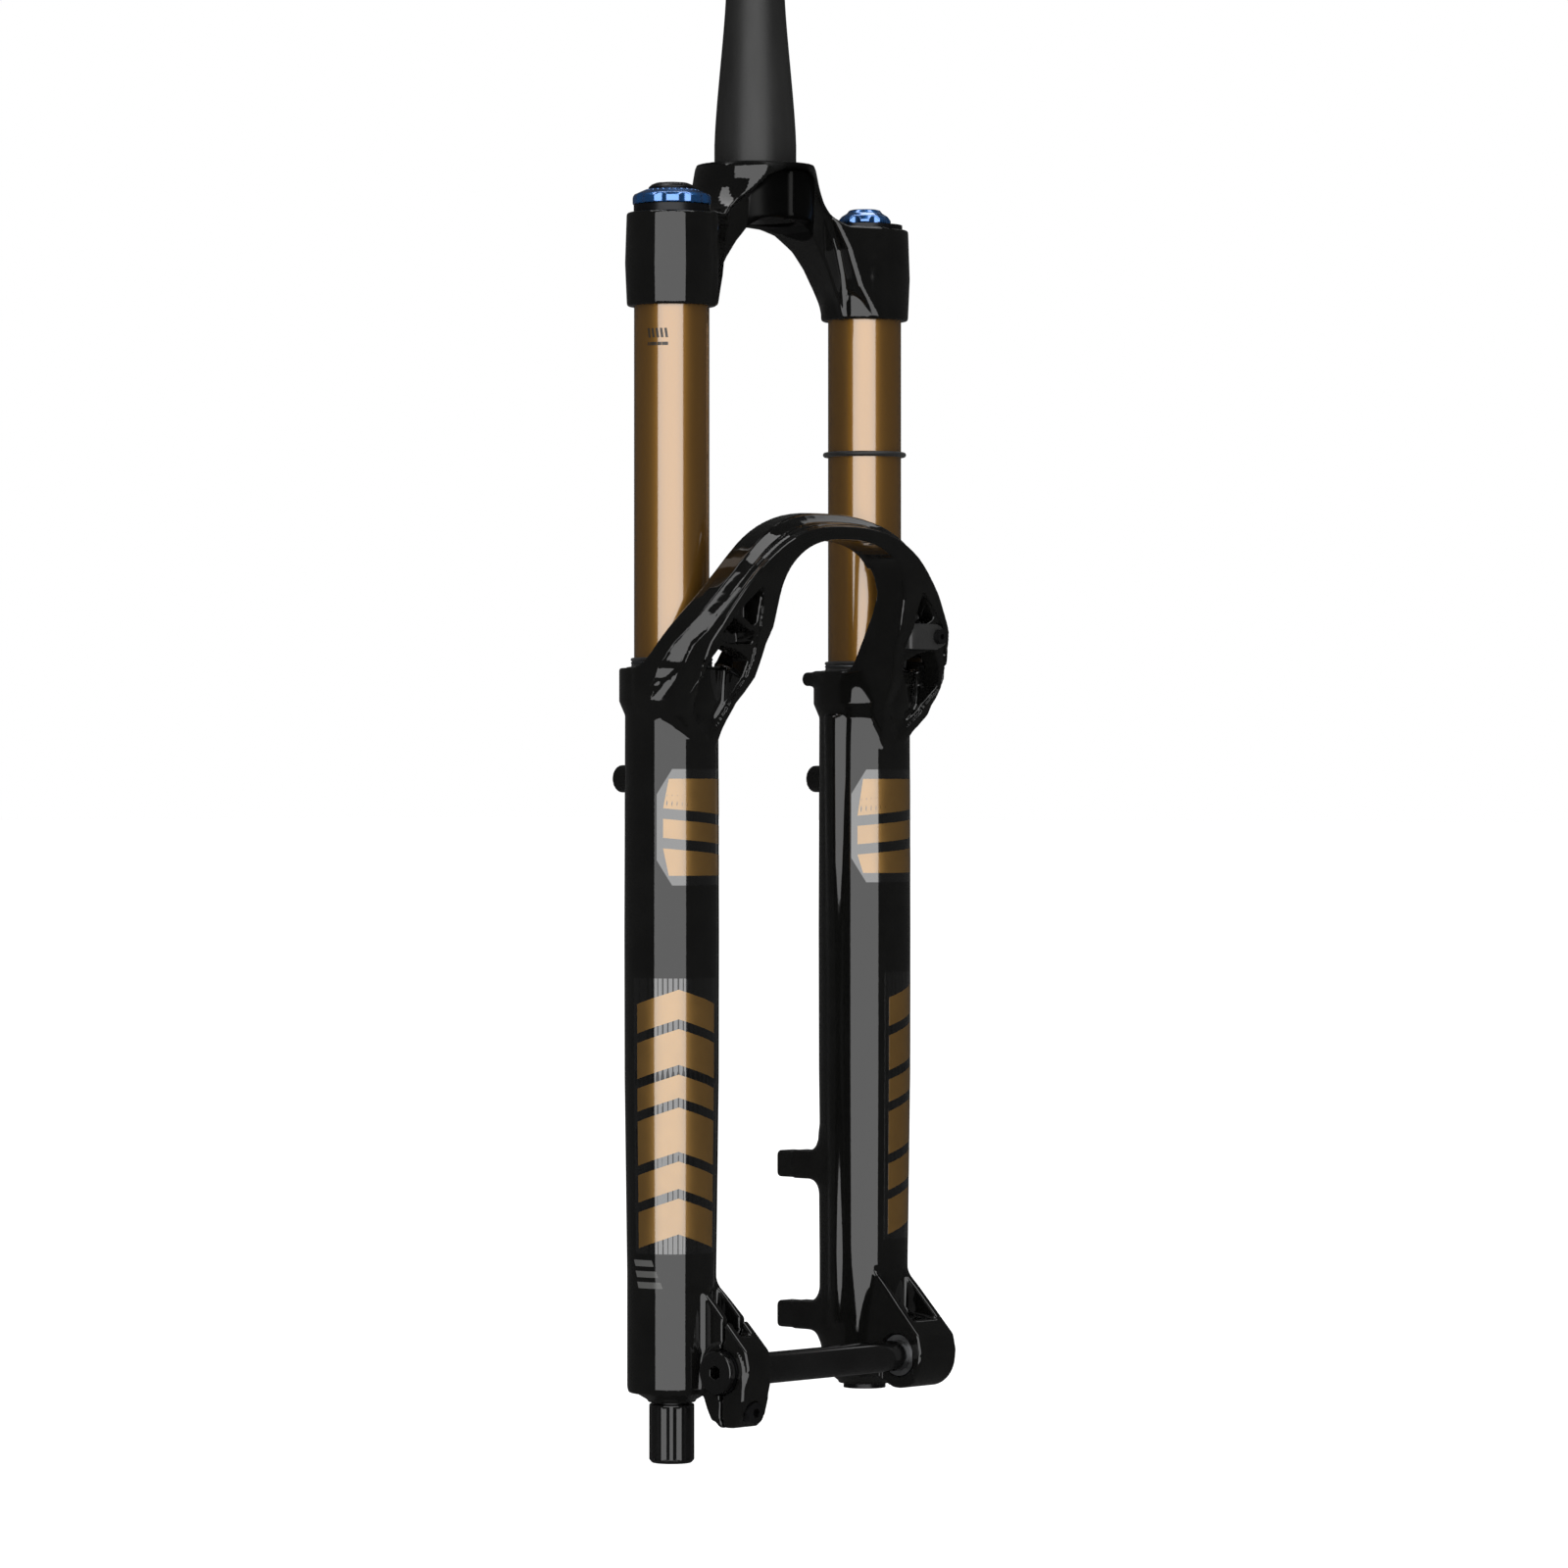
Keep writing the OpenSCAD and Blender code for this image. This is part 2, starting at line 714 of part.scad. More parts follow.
module sag_o_ring() {
    color("#161616") at_leg(1) translate([0, 0, -138.5])
        rotate_extrude() intersection() {
            translate([st_r + 1.2 + run, 0]) circle(r = 1.25, $fn = 32);
            translate([st_r + run, -3]) square([6, 6]);
        }
}

module rebound_cover() {
    flutes = 12;
    color("#131313") at_leg(-1) difference() {
        rotate_extrude() polygon([
            [0, cover_top - cover_h], [cover_r - 2, cover_top - cover_h],
            [cover_r - 0.5, cover_top - cover_h + 0.7], [cover_r, cover_top - cover_h + 2.4],
            [cover_r, cover_top - 0.5], [cover_r - 0.4, cover_top], [cover_bore_r, cover_top],
            [cover_bore_r, cover_top - cover_h + 2.2], [0, cover_top - cover_h + 2.2]
        ]);
        for (i = [0:flutes - 1]) rotate(360 * (i + 0.5) / flutes)
            translate([cover_r + 2.3, 0, cover_top - cover_h + 2.5]) cylinder(r = 2.8, h = cover_h - 3.5, $fn = 32);
    }
}

module high_speed_rebound_knob() {
    color("#b23a2a") at_leg(-1) difference() {
        ring(8.4, rod_r + 0.1, nut_z - 18.3, 7);
        for (i = [0:11]) rotate(30 * i) translate([9, 0, nut_z - 19])
            cylinder(r = 1.2, h = 9, $fn = 24);
    }
}

module low_speed_rebound_knob() {
    color("#b23a2a") at_leg(-1) difference() {
        ring(5.6, 0, nut_z - 25.3, 6.7);
        for (i = [0:9]) rotate(36 * i) translate([6.2, 0, nut_z - 26])
            cylinder(r = 1.1, h = 9, $fn = 24);
        translate([0, 0, nut_z - 21]) cylinder(r = rod_r, h = 4);
    }
}

module low_speed_rebound_rod() {
    color("#a7aaae") at_leg(-1) ring(rod_r, 0, nut_z - 21, piston_z + 10 - nut_z + 21);
}

module bleed_button(side) {
    color("#202020") at_leg(side) union() {
        y_rod(2.6, 0, 24.3, 31.8, -298);
    }
}

module right_bleed_button() {
    bleed_button(-1);
}

module left_bleed_button() {
    bleed_button(1);
}

module through_axle() {
    head_r = 10.15;
    head_x = sleeve_x - run;
    color("#121212") difference() {
        union() {
            x_rod(axle_r, head_x - 1, hub_x + 24, axle_y, axle_z);
            x_rod(head_r, head_x - 4, head_x, axle_y, axle_z);
        }
        x_rod(5.4, -60, 90, axle_y, axle_z);
        translate([head_x - 5, axle_y, axle_z]) rotate([0, 90, 0]) cylinder(r = 3.46, h = 8, $fn = 6);
    }
}

module pinch_bolt() {
    color("#1b1b1b") difference() {
        union() {
            y_rod(3.1 - run, -63, -56, -32, -598);
            y_rod(5.2 - run, -63, -59, -54, -598);
        }
        translate([-63, -60, -598]) rotate([-90, 0, 0]) cylinder(r = 2.31, h = 4, $fn = 6);
    }
}

steerer_tube();
crown();
right_stanchion();
left_stanchion();
damper_top_cap();
damper_cartridge_tube();
damper_stem();
base_valve();
ifp_spring();
damper_seal_head();
air_top_cap();
volume_spacers();
air_seal_head();
top_out_bumper();
seal_head_circlips();
lower_casting();
dust_wipers();
garter_springs();
foam_rings();
upper_bushings();
lower_bushings();
damper_shaft();
rebound_piston();
air_shaft();
air_piston();
air_piston_seal();
bottom_out_bumpers();
crush_washers();
damper_foot_nut();
air_foot_bolt();
bleed_valve_bodies();
hose_clip();
hose_clip_screw();
axle_sleeve();
axle_insert();
high_speed_compression_dial();
low_speed_compression_knob();
air_cap();
air_valve_core();
floating_piston();
sag_o_ring();
rebound_cover();
high_speed_rebound_knob();
low_speed_rebound_knob();
low_speed_rebound_rod();
right_bleed_button();
left_bleed_button();
through_axle();
pinch_bolt();
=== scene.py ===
"""Looks of the suspension fork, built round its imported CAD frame.

Shapes are signed-distance solids in millimetres, in the row frame, turned into smooth meshes.
"""

import json
import math

import bpy
import numpy as np
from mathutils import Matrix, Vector

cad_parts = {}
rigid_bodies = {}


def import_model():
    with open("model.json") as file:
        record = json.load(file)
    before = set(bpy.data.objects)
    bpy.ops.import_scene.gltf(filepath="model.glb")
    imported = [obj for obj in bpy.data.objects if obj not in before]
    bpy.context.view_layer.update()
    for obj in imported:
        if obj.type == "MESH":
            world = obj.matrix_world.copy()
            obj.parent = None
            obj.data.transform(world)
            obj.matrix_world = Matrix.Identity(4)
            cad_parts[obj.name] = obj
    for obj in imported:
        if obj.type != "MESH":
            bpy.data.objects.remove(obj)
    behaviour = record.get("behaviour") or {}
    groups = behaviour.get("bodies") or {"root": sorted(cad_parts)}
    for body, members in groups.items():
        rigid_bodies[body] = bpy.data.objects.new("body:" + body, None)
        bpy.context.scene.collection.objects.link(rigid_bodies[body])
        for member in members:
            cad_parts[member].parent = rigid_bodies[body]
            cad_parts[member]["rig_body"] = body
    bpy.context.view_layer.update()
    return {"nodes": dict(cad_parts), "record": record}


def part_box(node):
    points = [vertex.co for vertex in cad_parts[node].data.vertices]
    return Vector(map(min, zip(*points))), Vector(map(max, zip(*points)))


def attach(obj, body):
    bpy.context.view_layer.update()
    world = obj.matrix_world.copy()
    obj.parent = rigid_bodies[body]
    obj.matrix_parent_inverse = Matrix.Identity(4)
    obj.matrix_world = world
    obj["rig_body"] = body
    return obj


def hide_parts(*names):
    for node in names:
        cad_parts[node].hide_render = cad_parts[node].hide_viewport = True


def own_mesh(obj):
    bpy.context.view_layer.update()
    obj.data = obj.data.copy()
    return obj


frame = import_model()
MM = 0.001


def box_mm(node):
    lo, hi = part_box(node)
    return np.array(lo) / MM, np.array(hi) / MM


def middle(node):
    lo, hi = box_mm(node)
    return (lo + hi) / 2


LEG_X, LEG_Y = middle("left_stanchion")[:2]
ST_TOP, ST_BOTTOM = box_mm("left_stanchion")[1][2], box_mm("left_stanchion")[0][2]
ST_R = (box_mm("left_stanchion")[1][0] - box_mm("left_stanchion")[0][0]) / 2
AXLE_Y, AXLE_Z = middle("through_axle")[1:]
STEERER_TOP = box_mm("steerer_tube")[1][2]

# ---------------------------------------------------------------- signed-distance solids

REACH = 14.0  # beyond this distance a solid only reports how far its box is
FAR = 700.0  # from the origin, past every end of the fork


class Solid:
    """A signed distance, negative inside, with the box that holds the solid."""

    def __init__(self, f, lo, hi):
        self.f, self.lo, self.hi = f, np.array(lo, float), np.array(hi, float)

    def __call__(self, p, box):
        gap = np.maximum(np.maximum(self.lo - box[1], box[0] - self.hi), 0)
        far = float(np.sqrt((gap * gap).sum()))
        if far > REACH:
            return np.full(p.shape[1], far, p.dtype)
        return self.f(p, box)

    def join(self, other, r=0.0):
        """Union, with a fillet of radius r."""

        def f(p, box):
            return -round_max(-self(p, box), -other(p, box), r)

        return Solid(f, np.minimum(self.lo, other.lo), np.maximum(self.hi, other.hi))

    def clip(self, other, r=0.0):
        """What both solids share, with its edge rounded by r."""

        def f(p, box):
            return round_max(self(p, box), other(p, box), r)

        return Solid(f, np.maximum(self.lo, other.lo), np.minimum(self.hi, other.hi))

    def cut(self, other, r=0.0):
        """This solid without the other, with the new edges rounded by r."""

        def f(p, box):
            return round_max(self(p, box), -other(p, box), r)

        return Solid(f, self.lo, self.hi)

    def mirrored(self):
        """The solid and its mirror image across the middle plane."""

        def f(p, box):
            lo, hi = box[0].copy(), box[1].copy()
            ends = abs(lo[0]), abs(hi[0])
            lo[0], hi[0] = 0 if lo[0] < 0 < hi[0] else min(ends), max(ends)
            return self(np.stack([np.abs(p[0]), p[1], p[2]]), (lo, hi))

        lo = self.lo.copy()
        lo[0] = -self.hi[0]
        return Solid(f, lo, self.hi)


def round_max(a, b, r):
    if r == 0:
        return np.maximum(a, b)
    return np.minimum(-r, np.maximum(a, b)) + np.hypot(
        np.maximum(r + a, 0), np.maximum(r + b, 0)
    )


def outline_distance(u, v, points):
    """Signed distance to a closed outline."""
    best = np.full(u.shape, 1e18, u.dtype)
    inside = np.zeros(u.shape, bool)
    for (x0, y0), (x1, y1) in zip(points, points[1:] + points[:1]):
        ex, ey = x1 - x0, y1 - y0
        if ex * ex + ey * ey < 1e-12:
            continue
        wx, wy = u - x0, v - y0
        t = np.clip((wx * ex + wy * ey) / (ex * ex + ey * ey), 0, 1)
        dx, dy = wx - ex * t, wy - ey * t
        best = np.minimum(best, dx * dx + dy * dy)
        if ey != 0:
            inside ^= ((y0 <= v) != (y1 <= v)) & (wx < wy * (ex / ey))
    d = np.sqrt(best)
    return np.where(inside, -d, d)


def curve(a, b, c, d, n=12):
    """Points along a cubic curve, both ends included."""
    out = []
    for i in range(n + 1):
        t = i / n
        w = ((1 - t) ** 3, 3 * (1 - t) ** 2 * t, 3 * (1 - t) * t * t, t**3)
        out.append(tuple(sum(k * q[j] for k, q in zip(w, (a, b, c, d))) for j in (0, 1)))
    return out


def rounded(points, r):
    """The outline with each clear corner replaced by an arc of radius r."""
    out, steps, clear = [], 4, 0.3
    n = len(points)
    for i in range(n):
        p, q, s = (np.array(points[(i + k) % n], float) for k in (-1, 0, 1))
        a, b = p - q, s - q
        la, lb = np.linalg.norm(a), np.linalg.norm(b)
        if la < 1e-9 or lb < 1e-9:
            continue
        a, b = a / la, b / lb
        turn = math.pi - math.acos(max(-1, min(1, float(a @ b))))
        if turn < clear:
            out.append(tuple(q))
            continue
        cut = min(r * math.tan(turn / 2), 0.45 * la, 0.45 * lb)
        start, end = q + a * cut, q + b * cut
        for k in range(steps + 1):
            t = k / steps
            out.append(tuple((1 - t) ** 2 * start + 2 * (1 - t) * t * q + t * t * end))
    return out


def rectangle(u0, u1, v0, v1):
    return [(u0, v0), (u1, v0), (u1, v1), (u0, v1)]


def spread(points, axis):
    values = [p[axis] for p in points]
    return min(values), max(values)


def extruded(d, w):
    return np.minimum(np.maximum(d, w), 0) + np.hypot(np.maximum(d, 0), np.maximum(w, 0))


def along(axis, flat, a, b, spans, edge):
    """A flat shape carried along an axis from a to b, its edges rounded by edge. The spans are
    its (low, high) limits on the other two axes."""
    i, j = [k for k in (0, 1, 2) if k != axis]

    def f(p, box):
        d = flat(p[i], p[j])
        w = np.maximum(a - p[axis], p[axis] - b)
        return extruded(d, w) if edge == 0 else round_max(d, w, edge)

    lo, hi = np.zeros(3), np.zeros(3)
    lo[axis], hi[axis] = a, b
    (lo[i], hi[i]), (lo[j], hi[j]) = spans
    return Solid(f, lo, hi)


def plate(axis, points, a, b, r=0.0):
    """An outline extruded along X (points are y, z), Y (x, z) or Z (x, y), its edges rounded by r."""
    points = [tuple(map(float, p)) for p in points]
    return along(axis, lambda u, v: outline_distance(u, v, points), a, b,
                 (spread(points, 0), spread(points, 1)), r)


def rod(axis, r, a, b, u, v, edge=0.0):
    """A round bar of radius r along an axis from a to b, its centre at (u, v) on the other two."""
    return along(axis, lambda s, t: np.hypot(s - u, t - v) - r, a, b,
                 ((u - r, u + r), (v - r, v + r)), edge)


def turned(points, x=0.0, y=0.0):
    """An outline of (radius, z) points turned about the upright line through (x, y)."""
    points = [tuple(map(float, p)) for p in points]
    r = max(p[0] for p in points)

    def f(p, box):
        return outline_distance(np.hypot(p[0] - x, p[1] - y), p[2], points)

    z0, z1 = spread(points, 1)
    return Solid(f, (x - r, y - r, z0), (x + r, y + r, z1))


def prism(axis, across, a, b, u, v, edge):
    """A hexagonal bar, `across` is half the distance over its flats."""

    def flat(s, t):
        d = None
        for k in range(3):
            turn = k * math.pi / 3
            e = np.abs((s - u) * math.cos(turn) + (t - v) * math.sin(turn)) - across
            d = e if d is None else round_max(d, e, edge)
        return d

    far = across * 1.16  # a little over the distance to a corner
    return along(axis, flat, a, b, ((u - far, u + far), (v - far, v + far)), edge)


def half_space(point, normal):
    """Everything behind a plane."""
    n = np.array(normal, float) / np.linalg.norm(normal)

    def f(p, box):
        return (p[0] - point[0]) * n[0] + (p[1] - point[1]) * n[1] + (p[2] - point[2]) * n[2]

    return Solid(f, (-FAR,) * 3, (FAR,) * 3)


# ---------------------------------------------------------------- meshes from solids

SAFE, MARGIN = 1.25, 3  # a block is skipped only when the surface is clearly outside it
OUT_OF_REACH = 99


def graded(*spans):
    """Grid lines from (start, end, spacing) spans that follow each other."""
    lines = []
    for a, b, h in spans:
        n = max(1, round((b - a) / h))
        lines += [a + (b - a) * k / n for k in range(n)]
    return np.array(lines + [spans[-1][1]])


def sample(solid, axes, block=20):
    """The solid's distances on a grid; blocks that the surface can't reach only get a sign."""
    shape = tuple(len(a) for a in axes)
    out = np.empty(shape, np.float32)
    blocks = []
    for i in range(0, shape[0], block):
        for j in range(0, shape[1], block):
            for k in range(0, shape[2], block):
                cut = tuple(
                    slice(s, min(s + block, n)) for s, n in zip((i, j, k), shape)
                )
                lo = np.array([a[c][0] for a, c in zip(axes, cut)])
                hi = np.array([a[c][-1] for a, c in zip(axes, cut)])
                blocks.append((cut, lo, hi))
    centres = np.array([(lo + hi) / 2 for _, lo, hi in blocks]).T
    whole = (np.full(3, -1e9), np.full(3, 1e9))
    around = solid(centres, whole)
    for (cut, lo, hi), d in zip(blocks, around):
        if abs(d) > np.linalg.norm(hi - lo) * 0.5 * SAFE + MARGIN:
            out[cut] = np.sign(d) * OUT_OF_REACH
            continue
        grid = np.meshgrid(*(a[c] for a, c in zip(axes, cut)), indexing="ij")
        p = np.stack([g.ravel() for g in grid]).astype(np.float32)
        out[cut] = solid(p, (lo, hi)).reshape(grid[0].shape)
    return out


def surface(values, axes):
    """Vertices and quads of the zero surface on a grid."""
    inside = values < 0
    corners = [(a, b, c) for a in (0, 1) for b in (0, 1) for c in (0, 1)]
    nx, ny, nz = (n - 1 for n in values.shape)
    count = np.zeros((nx, ny, nz), np.int8)
    for a, b, c in corners:
        count += inside[a : a + nx, b : b + ny, c : c + nz]
    active = (count > 0) & (count < 8)
    index = np.full(active.shape, -1, np.int64)
    cells = np.argwhere(active)
    index[active] = np.arange(len(cells))
    total = np.zeros((len(cells), 3))
    hits = np.zeros(len(cells))
    for a in corners:
        for axis in range(3):
            if a[axis]:
                continue
            b = tuple(v + (k == axis) for k, v in enumerate(a))
            ia, ib = cells + a, cells + b
            fa, fb = values[tuple(ia.T)], values[tuple(ib.T)]
            m = (fa < 0) != (fb < 0)
            t = (fa[m] / (fa[m] - fb[m]))[:, None]
            pa = np.stack([axes[k][ia[m, k]] for k in range(3)], 1)
            pb = np.stack([axes[k][ib[m, k]] for k in range(3)], 1)
            total[m] += pa + (pb - pa) * t
            hits[m] += 1
    vertices = total / hits[:, None]
    quads = []
    for axis in range(3):
        u, v = (axis + 1) % 3, (axis + 2) % 3
        cut_a = [slice(1, -1)] * 3
        cut_a[axis] = slice(0, -1)
        cut_b = [slice(1, -1)] * 3
        cut_b[axis] = slice(1, None)
        start, end = inside[tuple(cut_a)], inside[tuple(cut_b)]
        where = np.argwhere(start != end)
        flip = ~start[tuple(where.T)]
        base = where + 1
        base[:, axis] -= 1
        ring = []
        for du, dv in ((0, 0), (1, 0), (1, 1), (0, 1)):
            cell = base.copy()
            cell[:, u] -= 1 - du
            cell[:, v] -= 1 - dv
            ring.append(index[tuple(cell.T)])
        ring = np.stack(ring, 1)
        ring[flip] = ring[flip][:, ::-1]
        quads.append(ring)
    return vertices, np.concatenate(quads)


def refine(solid, vertices, passes, limit):
    """Moves vertices onto the surface and returns them with the surface's normals."""
    h = 0.06  # half the step of the slopes
    legs = np.array([(1, 1, 1), (1, -1, -1), (-1, 1, -1), (-1, -1, 1)], float) * h
    cell = 24.0  # vertices go through the solid in groups of this size
    key = np.floor(vertices / cell).astype(int)
    key -= key.min(0)
    size = key.max(0) + 1
    code = (key[:, 0] * size[1] + key[:, 1]) * size[2] + key[:, 2]
    order = np.argsort(code, kind="stable")
    splits = np.flatnonzero(np.diff(code[order])) + 1
    normals = np.zeros_like(vertices)
    for group in np.split(order, splits):
        start = vertices[group]
        p = start.copy()
        for n in range(passes + 1):
            q = (p[None] + legs[:, None]).reshape(-1, 3)
            box = (q.min(0), q.max(0))
            d = solid(q.T, box).reshape(4, -1)
            g = (d[:, :, None] * legs[:, None]).sum(0) / (4 * h * h)
            size_g = np.maximum(np.linalg.norm(g, axis=1, keepdims=True), 1e-6)
            if n < passes:
                step = d.mean(0)[:, None] * g / (size_g * size_g)
                length = np.maximum(np.linalg.norm(step, axis=1, keepdims=True), 1e-9)
                p = p - step * np.minimum(1, limit / length)
        vertices[group] = p
        normals[group] = g / size_g
    return vertices, normals


def in_scene(name, data):
    obj = bpy.data.objects.new(name, data)
    bpy.context.scene.collection.objects.link(obj)
    return obj


def add_mesh(name, vertices, faces, normals=None):
    """A smooth mesh object from points in millimetres."""
    mesh = bpy.data.meshes.new(name)
    faces = faces.tolist() if isinstance(faces, np.ndarray) else faces
    mesh.from_pydata((np.asarray(vertices) * MM).tolist(), [], faces)
    mesh.update()
    mesh.shade_smooth()
    if normals is not None:
        mesh.normals_split_custom_set_from_vertices(np.asarray(normals).tolist())
    return in_scene(name, mesh)


def carve(name, solid, axes, limit):
    """A mesh object of a solid; a vertex moves by no more than limit in one pass."""
    vertices, quads = surface(sample(solid, axes), axes)
    vertices, normals = refine(solid, vertices, 2, limit)
    return add_mesh(name, vertices, quads, normals)


def fine_axes(solid, h):
    """An even grid round a small solid."""
    return [graded((lo - 1.7 * h, hi + 1.9 * h, h)) for lo, hi in zip(solid.lo, solid.hi)]


def carve_fine(name, solid, h):
    return carve(name, solid, fine_axes(solid, h), h)


# ---------------------------------------------------------------- shapes of the crown and casting


CROWN_END = -72.7  # lower end of the sockets


def crown_solid():
    # the top of the hood, as distance from the steerer axis against height
    top = (
        [(-20, 0), (28.4, 0), (29.5, -2.4), (30.4, -6)]
        + curve((31.2, -9), (33.6, -16.8), (38.6, -24.4), (50, -27.3))
        + [(90, -28.2), (90, CROWN_END), (-20, CROWN_END)]
    )
    # the hollow below, as distance from the middle plane; it narrows towards the front
    under = [(-60, -27.6), (13, -27.6), (20, -28.8), (26, -31.6), (34, -39.4), (41, -47.6),
             (47.5, -58), (52, -66), (56, -76), (-60, -76)]
    # seen from the front, all below this line is scooped out as far as the web and the hub
    lip = [(0, -3.2), (8, -4.0), (16.5, -7.4), (23, -14.0), (30.5, -19.6), (36.5, -24.2),
           (40.2, -31.8), (43.6, -39.3), (45.6, -46.3), (48.8, -57.3), (52.5, -76), (0, -76)]

    edge = 1.6

    def around(p, box):
        return outline_distance(np.hypot(p[0], p[1]), p[2], top)

    def beneath(p, box):
        return outline_distance(np.abs(p[0]) / (1 + 0.0094 * (p[1] + 0.64)), p[2], under)

    plan = plate(
        2,
        rounded([(-5, -29.6), (9, -28.0), (17, -24.4), (23.5, -21.4), (30.5, -18.6),
                 (37.5, -18.8), (61.2, -30.9), (LEG_X, -24),
                 (LEG_X, 7.5), (58, 9.5), (38, 11), (14, 26), (-5, 29.6)], 6.0),
        -73, 1,
    ).mirrored()
    arms = Solid(around, (-LEG_X, -40, CROWN_END), (LEG_X, 40, 0)).clip(plan, edge)
    web = plate(
        2,
        [(-5, -17), (18, -17.5), (30, -15.5), (40, -14.5), (LEG_X, -14.5), (LEG_X, 12),
         (-5, 12)],
        -90, 5,
    ).mirrored()
    hub = turned(rounded([(0, 5), (28.4, 5), (28.0, -17), (27.2, -27.6), (0, -27.6)], edge))
    hub = hub.clip(plate(1, rectangle(-40, 40, -40, 10), -23.2, 40), 4.0)
    bevel = plate(1, rectangle(34, 62, -30, -76), -60, -15).clip(
        half_space((43.5, 0, -47), (0.892, 0, 0.453)))
    scoop = plate(1, lip, -60, 0).join(bevel).mirrored().cut(web, 3.0).cut(hub, 3.0)
    socket = rounded([(0, CROWN_END), (21.4, CROWN_END), (22.3, -52), (21.5, ST_TOP),
                      (0, ST_TOP)], 1.5)
    sockets = turned(socket, -LEG_X, LEG_Y).join(turned(socket, LEG_X, LEG_Y))
    body = arms.cut(scoop, edge)
    body = body.cut(Solid(beneath, (-62, -60, -76), (62, 60, -27.6)), edge)
    body = body.join(sockets, edge)
    body = body.cut(rod(2, 19.5, -90, 10, 0, 0), 0.5)
    for side in (-1, 1):
        body = body.cut(rod(2, ST_R, -90, -20, side * LEG_X, LEG_Y), 0.5)
    return body


ARCH_TOP = box_mm("lower_casting")[1][2]
FRONT_Y = [(-300, -24), (-290, -26), (-279, -31), (-270, -33.6), (-262, -37), (-257, -41),
           (-250, -46), (-245, -47.5), (-234, -50.5), (-226, -54.4), (-210, -58), (-191, -61.5),
           (-182, -62), (-176, -61), (-170, -57.5)]
RIDGE_1 = [(-290, 24), (-246, 23), (-236, 18.7), (-229, 15.5), (-221, 11.5), (-200, 8.6),
           (-184, 9.5), (-170, 10.5)]
RIDGE_2 = [(-290, 22), (-251, 20), (-243, 13.7), (-235, 11.5), (-228, 8.0), (-208, 4.2),
           (-187, 4.4), (-170, 5)]


def table(z, rows):
    return np.interp(z, [r[0] for r in rows], [r[1] for r in rows]).astype(z.dtype)


def soft_ramp(t, w, ease=0.35):
    """0 below 0 and w above w, with both corners eased."""
    return 0.5 * (np.hypot(t, ease) - np.hypot(t - w, ease) + w)


